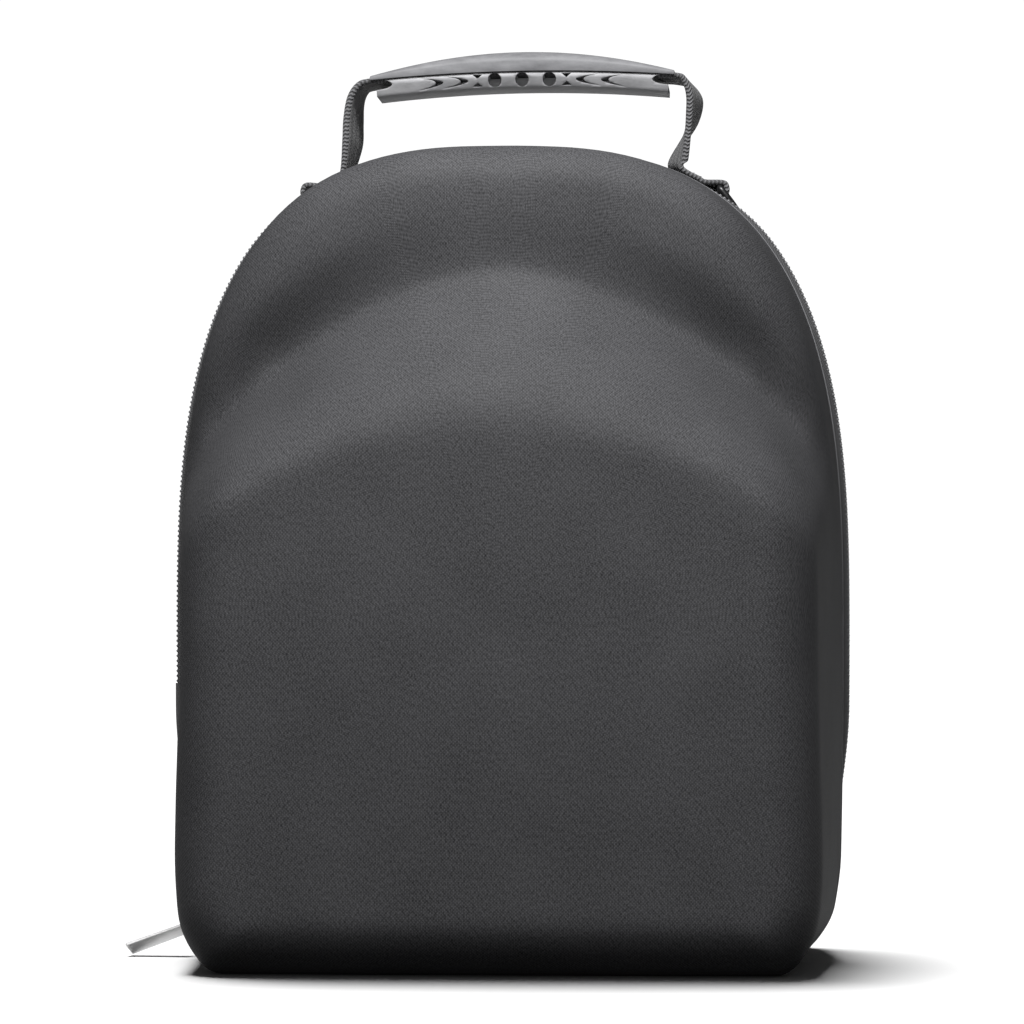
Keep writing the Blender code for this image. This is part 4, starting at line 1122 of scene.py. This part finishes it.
def upright_prism(work, outline, y_middle, half_thickness):
    """Add a prism to a mesh, from an outline of x and z and with its length along Y."""
    rings = []
    for y in (y_middle - half_thickness, y_middle + half_thickness):
        rings.append([work.verts.new((x, y, z)) for x, z in outline])
    count = len(outline)
    work.faces.new(rings[0])
    work.faces.new(rings[1][::-1])
    for corner in range(count):
        after = (corner + 1) % count
        work.faces.new((rings[0][after], rings[0][corner], rings[1][corner], rings[1][after]))


def ellipse(x_middle, z_middle, x_radius, z_radius):
    """Outline of an ellipse."""
    sides = 40
    turns = [2 * math.pi * step / sides for step in range(sides)]
    return [(x_middle + x_radius * math.cos(turn), z_middle + z_radius * math.sin(turn)) for turn in turns]


def side_heights(x):
    """Top and bottom of the lower half's side face, at a distance along."""
    high = grip_arch(GRIP_PARTING, GRIP_PARTING_SAG, x) - GAP / 2
    return high, grip_arch(GRIP_BOTTOM, GRIP_BOTTOM_SAG, x)


def crescent(place, hand):
    """Outline of a crescent recess, bulging to the grip's middle."""
    steps = 18
    outer = []
    inner = []
    for step in range(steps + 1):
        across = 2 * step / steps - 1
        lag = across ** 2
        x_outer = place + CRESCENT_LENGTH * lag
        x_inner = place + CRESCENT_THICKNESS + (CRESCENT_LENGTH - CRESCENT_THICKNESS) * lag
        high, low = side_heights(x_outer)
        z = (high + low) / 2 + across * ((high - low) / 2 - CRESCENT_MARGIN)
        outer.append((hand * x_outer, z))
        inner.append((hand * x_inner, z))
    return outer + inner[-2:0:-1]


def wedge(place, edge, tip):
    """Outline of a small triangular recess, from a wide edge to a tip."""
    half = WEDGE_WIDTH / 2
    return [(place - half, edge), (place + half, edge), (place, tip)]


def recess_outlines():
    """Outlines of the recesses in one side of the grip's lower half."""
    outlines = []
    for step in (-1, 0, 1):
        high, low = side_heights(step * HOLE_PITCH)
        outlines.append(ellipse(step * HOLE_PITCH, (high + low) / 2, HOLE_RADIUS, HOLE_RADIUS))
    for hand in (-1, 1):
        high, low = side_heights(WEDGE_PLACE)
        top = high - CRESCENT_MARGIN
        outlines.append(wedge(hand * WEDGE_PLACE, top, top - WEDGE_HEIGHT))
        bottom = low + CRESCENT_MARGIN
        outlines.append(wedge(hand * WEDGE_PLACE, bottom, bottom + WEDGE_HEIGHT))
        outlines += [crescent(place, hand) for place in CRESCENT_PLACES]
    return outlines


def recess_mesh():
    """All the recesses of both sides, and the two end notches, as one cutter."""
    work = bmesh.new()
    for side in (FRONT, BACK):
        for outline in recess_outlines():
            upright_prism(work, outline, side * GRIP_WIDTH / 2, RECESS_DEPTH)
    for hand in (-1, 1):
        end = hand * GRIP_LENGTH / 2
        high, _ = side_heights(end)
        notch = ellipse(end, high - NOTCH_DROP, NOTCH_LENGTH, NOTCH_HEIGHT / 2)
        upright_prism(work, notch, 0, GRIP_WIDTH)
    bmesh.ops.recalc_face_normals(work, faces=work.faces)
    return plain_mesh("grip_recesses", work)


def channel_centre(x):
    """Middle of the webbing's channel through the grip, in the grip's frame."""
    return Vector((x, 0, grip_arch(GRIP_PARTING, GRIP_PARTING_SAG, x) + GAP / 2))


def channel_mesh():
    """Channel for the webbing, half in each part of the grip and out past both of its ends."""
    half_width = STRAP_WIDTH / 2 + GAP
    half_height = STRAP_THICKNESS / 2 + GAP
    length = GRIP_LENGTH + 8 * STRAP_THICKNESS
    sections = []
    for step in range(GRIP_SPANS + 1):
        centre = channel_centre(length * (step / GRIP_SPANS - 0.5))
        corners = ((-1, -1), (1, -1), (1, 1), (-1, 1))
        sections.append([centre + Vector((0, y * half_width, z * half_height)) for y, z in corners])
    return bar_mesh("grip_channel", sections)


def carve(mesh, name, *cutters):
    """Cut a mesh with others, and soften the edges that are left."""
    holder = link_object(name + "_work", mesh)
    knives = [link_object(cutter.name + "_knife", cutter) for cutter in cutters]
    for knife in knives:
        modifier = holder.modifiers.new("cut", "BOOLEAN")
        modifier.object = knife
        modifier.solver = "EXACT"
    bevel = holder.modifiers.new("soften", "BEVEL")
    bevel.width = GRIP_SOFTENING
    bevel.segments = 2
    bevel.limit_method = "ANGLE"
    bevel.angle_limit = 40 * DEGREE
    return evaluated_mesh(name, holder, *knives)


def build_grip(looks):
    """The grip's two moulded halves."""
    places = [GRIP_LENGTH * (step / GRIP_SPANS - 0.5) for step in range(GRIP_SPANS + 1)]
    top = bar_mesh("grip_top_solid", [grip_top_section(x) for x in places])
    shortened = 1 - 2 * GRIP_LOWER_INSET / GRIP_LENGTH
    bottom = bar_mesh("grip_bottom_solid", [grip_bottom_section(x * shortened) for x in places])
    halves = (
        ("grip_top", "rubber_top", carve(top, "grip_upper_half", channel_mesh())),
        ("grip_bottom", "rubber_bottom", carve(bottom, "grip_lower_half", channel_mesh(), recess_mesh())),
    )
    for node, look, mesh in halves:
        mesh.transform(grip_frame())
        new_piece(mesh.name, mesh, looks[look], "case", (node,))


# Webbing and rings

def dome_rim(angle):
    """Point and normal of the dome at an angle."""
    step = 0.001
    x, z = dome_point(angle)
    x_before, z_before = dome_point(angle - step)
    x_after, z_after = dome_point(angle + step)
    run = Vector((x_after - x_before, z_after - z_before)).normalized()
    return Rim(x, z, run.y, -run.x)


def wall_at(x):
    """Back shell's top wall under the handle, at a distance to one side."""
    hand = 1 if x > 0 else -1
    inset = max(HANDLE_DEPTH - RIM_LIP, 0) * math.tan(TOP_DRAFT)
    low = 0.0
    high = math.pi / 2
    halvings = 40
    for _ in range(halvings):
        angle = (low + high) / 2
        rim = dome_rim(angle)
        if rim.x - rim.normal_x * inset > abs(x):
            low = angle
        else:
            high = angle
    point = Vector((hand * (rim.x - rim.normal_x * inset), HANDLE_Y, rim.z - rim.normal_z * inset))
    out = Vector((hand * rim.normal_x, 0, rim.normal_z))
    tangent = Vector((hand * rim.normal_z, 0, -rim.normal_x))
    back = Vector((0, 1, 0))
    lateral = back * math.cos(TOP_DRAFT) - out * math.sin(TOP_DRAFT)
    normal = out * math.cos(TOP_DRAFT) + back * math.sin(TOP_DRAFT)
    return Wall(point, tangent, lateral, normal)


def layer_height(layer):
    """Height of a sewn layer's middle above the shell: 0 for the lower, 1 for the upper."""
    return GAP + STRAP_THICKNESS / 2 + layer * (STRAP_THICKNESS + GAP)


def ring_radius():
    """Radius at which the webbing's middle runs round a ring's bar."""
    return RING_WIRE + 2 * GAP + STRAP_THICKNESS / 2


def ring_bar(hand):
    """Middle of a ring's bar."""
    wall = wall_at(hand * RING_PLACE)
    return wall.point + wall.normal * (layer_height(0) + ring_radius())


def sewn_layer(hand, foot, shares, height):
    """Places of one sewn layer of webbing, at shares of the run from its foot to the ring."""
    start = foot + STRAP_FOOT_BEND
    layer = []
    for share in shares:
        wall = wall_at(hand * blend(start, RING_PLACE, share))
        layer.append((wall.point + wall.normal * height, wall.lateral, STRAP_THICKNESS))
    return layer


def strap_side(hand, bends, foot):
    """Webbing's middle line, lateral directions and thickness, from the grip to its end in the ring."""
    start = grip_frame() @ channel_centre(hand * GRIP_LENGTH / 2)
    landing = wall_at(hand * foot)
    drop = start.z - landing.point.z
    back = Vector((0, 1, 0))
    trail = []
    for index, bend in enumerate(bends):
        x = start.x + hand * STRAP_REACH * bend.outward
        z = start.z - drop * (1 - bend.height)
        turn = Matrix.Rotation(-hand * bend.twist * DEGREE, 3, "Z")
        thick = blend(STRAP_THICKNESS, DOUBLED_THICKNESS, ease(index / 2))
        trail.append((Vector((x, HANDLE_Y, z)), turn @ back, thick))
    foot_height = layer_height(1) + STRAP_FOOT_RISE
    half_turned = (back + landing.lateral).normalized()
    trail.append((landing.point + landing.normal * foot_height, half_turned, STRAP_THICKNESS))
    trail += sewn_layer(hand, foot, SEWN_UPPER, layer_height(1))
    wall = wall_at(hand * RING_PLACE)
    middle = ring_bar(hand)
    for turn in LOOP_TURNS:
        reach = wall.tangent * math.cos(turn * DEGREE) + wall.normal * math.sin(turn * DEGREE)
        trail.append((middle + reach * ring_radius(), wall.lateral, STRAP_THICKNESS))
    return trail + sewn_layer(hand, foot, SEWN_LOWER, layer_height(0))


def catmull(points, share):
    """Point of a Catmull-Rom curve between the middle two of four points."""
    before, start, end, after = points
    bend = 2 * before - 5 * start + 4 * end - after
    swing = 3 * start - before - 3 * end + after
    return start + share / 2 * ((end - before) + share * (bend + share * swing))


def smooth_trail(trail):
    """Closely spaced points of a smooth curve through a trail."""
    ends = [trail[0]] + trail + [trail[-1]]
    smooth = []
    for index in range(1, len(ends) - 2):
        for step in range(STRAP_STEPS):
            share = step / STRAP_STEPS
            place = catmull([ends[index + near][0] for near in (-1, 0, 1, 2)], share)
            lateral = catmull([ends[index + near][1] for near in (-1, 0, 1, 2)], share).normalized()
            smooth.append((place, lateral, blend(ends[index][2], ends[index + 1][2], share)))
    return smooth + [trail[-1]]


def strap_section():
    """Flat section with rounded edges: shares of half the width and of half the thickness."""
    flat = 10
    arc = 4
    top = [(blend(-STRAP_FLAT, STRAP_FLAT, step / flat), 1.0) for step in range(flat + 1)]
    turns = [math.pi * (0.5 - step / arc) for step in range(1, arc)]
    right = [(STRAP_FLAT + (1 - STRAP_FLAT) * math.cos(turn), math.sin(turn)) for turn in turns]
    half = top + right
    return half + [(-y, -z) for y, z in half]


def build_webbing(looks):
    """One length of webbing: through the grip, down both sides, sewn, and folded round the rings."""
    grip = grip_frame()
    right = strap_side(1, STRAP_BENDS_RIGHT, STRAP_FOOT_RIGHT)
    left = strap_side(-1, STRAP_BENDS_LEFT, STRAP_FOOT_LEFT)
    inside = []
    for share in CHANNEL_PLACES:
        centre = grip @ channel_centre(share * GRIP_LENGTH / 2)
        inside.append((centre, Vector((0, 1, 0)), STRAP_THICKNESS))
    trail = smooth_trail(left[::-1] + inside + right)
    section = strap_section()
    columns = []
    maps = []
    along = 0.0
    for index, (place, lateral, thick) in enumerate(trail):
        before = trail[max(index - 1, 0)][0]
        after = trail[min(index + 1, len(trail) - 1)][0]
        along += (place - before).length
        run = (after - before).normalized()
        out = run.cross(lateral).normalized()
        column = [place + lateral * y * STRAP_WIDTH / 2 + out * z * thick / 2 for y, z in section]
        columns.append(column + column[:1])
        across = [y * STRAP_WIDTH / 2 + z * thick / 4 for y, z in section]
        maps.append([(along, value) for value in across + across[:1]])
    mesh = grid_mesh("handle_webbing", columns, maps, merge=0.001 * MM)
    close_ends(mesh)
    new_piece(mesh.name, mesh, looks["webbing"], "case", ("handle_strap",), sharp=60 * DEGREE)
    build_bar_stitches(looks)


def close_ends(mesh):
    """Fill a tube's two ends and turn its faces outwards."""
    work = bmesh.new()
    work.from_mesh(mesh)
    bmesh.ops.holes_fill(work, edges=[edge for edge in work.edges if edge.is_boundary])
    bmesh.ops.recalc_face_normals(work, faces=work.faces)
    work.to_mesh(mesh)
    work.free()


def build_bar_stitches(looks):
    """Rows of stitches that hold the webbing's folded ends down."""
    stitch = capsule_mesh("bar_stitch", BAR_STITCH_LENGTH, BAR_STITCH_RADIUS)
    paths = []
    for hand, foot in ((-1, STRAP_FOOT_LEFT), (1, STRAP_FOOT_RIGHT)):
        for share in BAR_STITCH_ROWS:
            wall = wall_at(hand * blend(foot + STRAP_FOOT_BEND, RING_PLACE, share))
            place = wall.point + wall.normal * (layer_height(1) + STRAP_THICKNESS / 2)
            reach = wall.lateral * (STRAP_WIDTH / 2 - BAR_STITCH_MARGIN)
            paths.append([(place - reach, wall.normal), (place + reach, wall.normal)])
    mesh = lay_along("webbing_stitches", paths, BAR_STITCH_PITCH, stitch, looks["thread"])
    new_piece("webbing_stitches", mesh, looks["thread"], "case")


def build_rings(looks):
    """Wire rings in the webbing's folded ends."""
    for name, body, hand in (("ring_left", "left_ring", -1), ("ring_right", "right_ring", 1)):
        wall = wall_at(hand * RING_PLACE)
        middle = ring_bar(hand)
        resting = wall_at(hand * (RING_PLACE + RING_CONTACT))
        away = resting.point + resting.normal * (RING_WIRE + GAP) - middle
        away = (away - wall.lateral * away.dot(wall.lateral)).normalized()
        out = away.cross(wall.lateral).normalized()
        half_bar = STRAP_WIDTH / 2 + RING_WIRE + 2 * GAP
        arc = 36
        bar = 12
        leg = 4
        path = [(0.0, blend(-half_bar, half_bar, step / bar)) for step in range(bar)]
        for step in range(arc + 1):
            angle = math.pi * step / arc
            path.append((blend(RING_SHOULDER, RING_LENGTH, math.sin(angle)), half_bar * math.cos(angle)))
        for step in range(1, leg):
            path.append((RING_SHOULDER * (1 - step / leg), -half_bar))
        places = [(middle + away * x + wall.lateral * y, out) for x, y in path]
        mesh = tube_mesh(name + "_wire", places, RING_WIRE, sides=12, ring=True)
        new_piece(mesh.name, mesh, looks["lacquer"], body, (name,), sharp=80 * DEGREE)


# Slider, pull, tab and hinge cloth

def frame_matrix(origin, x_axis, y_axis, z_axis):
    """World matrix from an origin and three axes."""
    matrix = Matrix((x_axis, y_axis, z_axis)).transposed().to_4x4()
    matrix.translation = origin
    return matrix


def slider_frame():
    """Slider's frame: X up along the teeth, Z out of the case, origin on the teeth's outer face."""
    x, z = corner_point(SLIDER_ANGLE)
    rim = Rim(-x, z, -math.cos(SLIDER_ANGLE), -math.sin(SLIDER_ANGLE))
    out = Vector((rim.normal_x, 0, rim.normal_z))
    along = Vector((rim.normal_z, 0, -rim.normal_x))
    return frame_matrix(band_point(rim, -SLIDER_SINK, ZIP_Y), along, out.cross(along), out)


def pull_frame():
    """Pull's frame: origin on its hinge, X along the tab to its tip, Y along the hinge."""
    hinge = slider_frame() @ Vector((0, 0, GAP + SLIDER_PLATE + BRIDGE_OPENING / 2))
    length = PULL_NECK_LENGTH + PULL_PLATE_LENGTH
    below = PULL_TIP_WIDTH / 2 * math.sin(PULL_ROLL) + PULL_THICKNESS / 2 * math.cos(PULL_ROLL)
    slope = math.asin((hinge.z - GAP) / math.hypot(length, below)) - math.atan2(below, length)
    along = Vector((-math.cos(slope), 0, -math.sin(slope)))
    roll = Matrix.Rotation(PULL_ROLL, 3, along)
    across = roll @ Vector((0, -1, 0))
    face = roll @ Vector((-math.sin(slope), 0, math.cos(slope)))
    return frame_matrix(hinge, along, across, face)


def plate_mesh(name, outline, low, high, edge):
    """Flat plate from an outline, with softened edges."""
    sections = [[Vector((x, y, z)) for x, y in outline] for z in (low, high)]
    mesh = bar_mesh(name, sections)
    soften = {"width": edge, "segments": 3, "limit_method": "ANGLE", "angle_limit": 50 * DEGREE}
    return finish_modifiers(mesh, name, ("BEVEL", soften))


def rounded_box(half_x, half_y, radius, taper=0.0):
    """Outline of a plate with round corners, narrower at one end by a taper."""
    steps = 6
    outline = []
    for hand_x, hand_y, start in ((1, 1, 0), (-1, 1, 90), (-1, -1, 180), (1, -1, 270)):
        for step in range(steps + 1):
            turn = (start + 90 * step / steps) * DEGREE
            x = hand_x * (half_x - radius) + radius * math.cos(turn)
            y = hand_y * (half_y - radius) + radius * math.sin(turn)
            outline.append((x, y * (1 - taper * (x + half_x) / (2 * half_x))))
    return outline


def build_slider(looks):
    """Slider's body: two plates, the nose between them and the bridge."""
    outline = rounded_box(SLIDER_LENGTH / 2, SLIDER_WIDTH / 2, SLIDER_CORNER, taper=SLIDER_TAPER)
    nose = rounded_box(NOSE_HALF_LENGTH, NOSE_HALF_WIDTH, NOSE_CORNER)
    nose = [(x - SLIDER_LENGTH / 2 + NOSE_HALF_LENGTH, y) for x, y in nose]
    under = -CHAIN_THICKNESS - SLIDER_UNDER_GAP
    top = GAP + SLIDER_PLATE
    middle = SLIDER_PLATE / 2
    work = bmesh.new()
    work.from_mesh(plate_mesh("slider_outer", outline, GAP, top, SLIDER_EDGE))
    work.from_mesh(plate_mesh("slider_inner", outline, under - SLIDER_PLATE, under, SLIDER_EDGE))
    work.from_mesh(plate_mesh("slider_nose", nose, under - middle, top - middle, NOSE_EDGE))
    reach = BRIDGE_LENGTH / 2 - BRIDGE_BAR / 2
    rise = BRIDGE_OPENING + BRIDGE_BAR / 2 + middle
    steps = 24
    path = []
    for step in range(steps + 1):
        angle = math.pi * step / steps
        x = math.copysign(abs(math.cos(angle)) ** BRIDGE_ROUNDING, math.cos(angle)) * reach
        z = top - middle + rise * math.sin(angle) ** BRIDGE_ROUNDING
        path.append((Vector((x, 0, z)), Vector((0, 1, 0))))
    work.from_mesh(tube_mesh("slider_bridge", path, BRIDGE_RADIUS, sides=10))
    mesh = plain_mesh("slider_body", work)
    mesh.transform(slider_frame())
    new_piece("slider_body", mesh, looks["lacquer"], "case", ("zip_slider",))


def build_pull(looks):
    """Pull tab: brushed plate on a black eye that hangs on the bridge."""
    half = PULL_THICKNESS / 2
    root = PULL_ROOT_WIDTH / 2
    tip = PULL_TIP_WIDTH / 2
    start = PULL_NECK_LENGTH - PULL_BAR
    end = PULL_NECK_LENGTH + PULL_PLATE_LENGTH
    chamfer = PULL_CHAMFER
    near = [(start, -root + chamfer), (start + chamfer, -root), (end - chamfer, -tip), (end, -tip + chamfer)]
    outline = near + [(x, -y) for x, y in reversed(near)]
    plate = plate_mesh("pull_plate", outline, -half, half, PULL_EDGE)
    plate.transform(pull_frame())
    new_piece("pull_plate", plate, looks["nickel"], "pull", ("zip_pull",))
    side = PULL_NECK_WIDTH / 2 - PULL_NECK_ARM / 2
    corners = [Vector((0, -side, 0)), Vector((0, side, 0)), Vector((start, side, 0)), Vector((start, -side, 0))]
    steps = 6
    path = []
    for here, there in zip(corners, corners[1:] + corners[:1]):
        path += [(here.lerp(there, step / steps), Vector((0, 0, 1))) for step in range(steps)]
    eye = tube_mesh("pull_eye", path, PULL_NECK_ARM / 2, sides=10, ring=True)
    eye.transform(pull_frame())
    new_piece("pull_eye", eye, looks["lacquer"], "pull", sharp=80 * DEGREE)


def build_tab(looks):
    """Folded cloth tab on the front tape."""
    lift = TAPE_THICKNESS / 2 + GAP + TAB_THICKNESS / 2
    rows = 16
    spans = 8
    columns = []
    maps = []
    for row in range(rows + 1):
        z = blend(TAB_LOW, TAB_HIGH, row / rows)
        x, _ = side_point((z - CORNER_RADIUS) / (WIDEST_HEIGHT - CORNER_RADIUS))
        rim = Rim(-x, z, -1.0, 0.0)
        over_teeth = band_bulge(x, z) - TAB_THICKNESS / 2
        column = []
        for span in range(spans + 1):
            share = span / spans
            away = blend(BAND_HALF - TAB_TUCK, 0, share)
            offset = blend(-TAB_TUCK, over_teeth, math.sin(share * math.pi / 2) ** TAB_ROUNDING)
            offset += lift * (1 - share) * TAB_LIFT
            column.append(band_point(rim, offset, ZIP_Y + FRONT * away))
        columns.append(column)
        maps.append([(z, -span * TAB_SPAN) for span in range(spans + 1)])
    mesh = grid_mesh("side_tab_cloth", columns, maps)
    mesh = finish_modifiers(mesh, "side_tab_cloth", wall_step(TAB_THICKNESS, 0))
    new_piece("side_tab_cloth", mesh, looks["tape"], "case", ("side_tab",))


def build_hinge_cloth(looks):
    """Cloth along the bottom that joins the shells, slightly slack."""
    spans = 70
    rows = 14
    reach = CORNER_X - 2 * GAP
    half = BAND_HALF + TAPE_TUCK
    columns = []
    maps = []
    for span in range(spans + 1):
        x = blend(reach, -reach, span / spans)
        column = []
        for row in range(rows + 1):
            y = blend(-half, half, row / rows)
            slack = ease((BAND_HALF - abs(y)) / BAND_HALF) * HINGE_SLACK
            slack *= 1 + HINGE_WAVE * math.sin(x / HINGE_WAVE_LENGTH)
            z = SHELL_WALL + GAP + TAPE_THICKNESS / 2 - slack
            column.append(Vector((x, ZIP_Y + y, z)))
        columns.append(column)
        maps.append([(x, point.y) for point in column])
    mesh = grid_mesh("hinge_cloth", columns, maps)
    mesh = finish_modifiers(mesh, "hinge_cloth", wall_step(TAPE_THICKNESS, 0))
    new_piece("hinge_cloth", mesh, looks["tape"], "case", ("hinge_strip",))


# Camera, floor and light

def build_camera():
    """Camera at the photograph's place."""
    data = bpy.data.cameras.new("photo_camera")
    data.lens = SENSOR_WIDTH * FOCAL_PIXELS / FRAME_PIXELS
    data.sensor_width = SENSOR_WIDTH
    camera = link_object("photo_camera", data)
    place = Vector((
        math.sin(CAMERA_TURN) * CAMERA_DISTANCE,
        ZIP_Y - math.cos(CAMERA_TURN) * CAMERA_DISTANCE,
        CAMERA_HEIGHT,
    ))
    camera.location = place
    camera.rotation_euler = (CAMERA_AIM - place).to_track_quat("-Z", "Y").to_euler()
    bpy.context.scene.camera = camera


def build_floor():
    """Plain pale floor, which gives the case no diffuse bounce so that its cloth stays dark."""
    half = FLOOR_HALF
    mesh = bpy.data.meshes.new("studio_floor")
    corners = [(-half, -half, 0), (half, -half, 0), (half, half, 0), (-half, half, 0)]
    mesh.from_pydata(corners, [], [(0, 1, 2, 3)])
    floor = link_object("studio_floor", mesh)
    material, _, _ = new_material("matt_white_floor", "#f4f4f4", 0.9)
    mesh.materials.append(material)
    floor.visible_diffuse = False
    return floor


def add_light(name, kind, place, target, energy, **settings):
    """One light, turned to its target."""
    data = bpy.data.lights.new(name, kind)
    data.energy = energy
    for key, value in settings.items():
        setattr(data, key, value)
    lamp = link_object(name, data)
    lamp.location = place
    lamp.rotation_euler = (Vector(target) - Vector(place)).to_track_quat("-Z", "Y").to_euler()
    return lamp


def build_light(floor):
    """Soft boxes on the case, an even light on the floor, and a world that is white to the camera."""
    bpy.context.scene.view_settings.view_transform = "Standard"
    world = bpy.data.worlds.new("studio")
    bpy.context.scene.world = world
    world.use_nodes = True
    tree = world.node_tree
    back = tree.nodes["Background"]
    back.inputs["Color"].default_value = colour("#ffffff")
    seen = add_node(tree, "ShaderNodeLightPath").outputs["Is Camera Ray"]
    feed(tree, back, {"Strength": weighted_sum(tree, WORLD_FILL, (seen, 1.0))})
    for box in SOFT_BOXES:
        lamp = add_light(
            box.name, "AREA", box.place, box.target, box.power,
            shape="RECTANGLE", size=box.width, size_y=box.height,
        )
        link_light(lamp, floor, "EXCLUDE")
    even = add_light(
        "floor_light", "SUN", FLOOR_SUN_PLACE, (0, 0, 0), FLOOR_SUN_POWER, angle=FLOOR_SUN_ANGLE,
    )
    link_light(even, floor, "INCLUDE")


def link_light(lamp, thing, state):
    """Let a light reach a thing alone, or everything but that thing."""
    receivers = bpy.data.collections.new(lamp.name + "_receivers")
    receivers.objects.link(thing)
    lamp.light_linking.receiver_collection = receivers
    receivers.collection_objects[0].light_linking.link_state = state


def main():
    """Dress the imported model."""
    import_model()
    looks = make_materials()
    build_camera()
    build_light(build_floor())
    builders = (
        build_shells, build_tapes, build_teeth, build_stitches, build_piping, build_grip,
        build_webbing, build_rings, build_slider, build_pull, build_tab, build_hinge_cloth,
    )
    for build in builders:
        build(looks)


main()
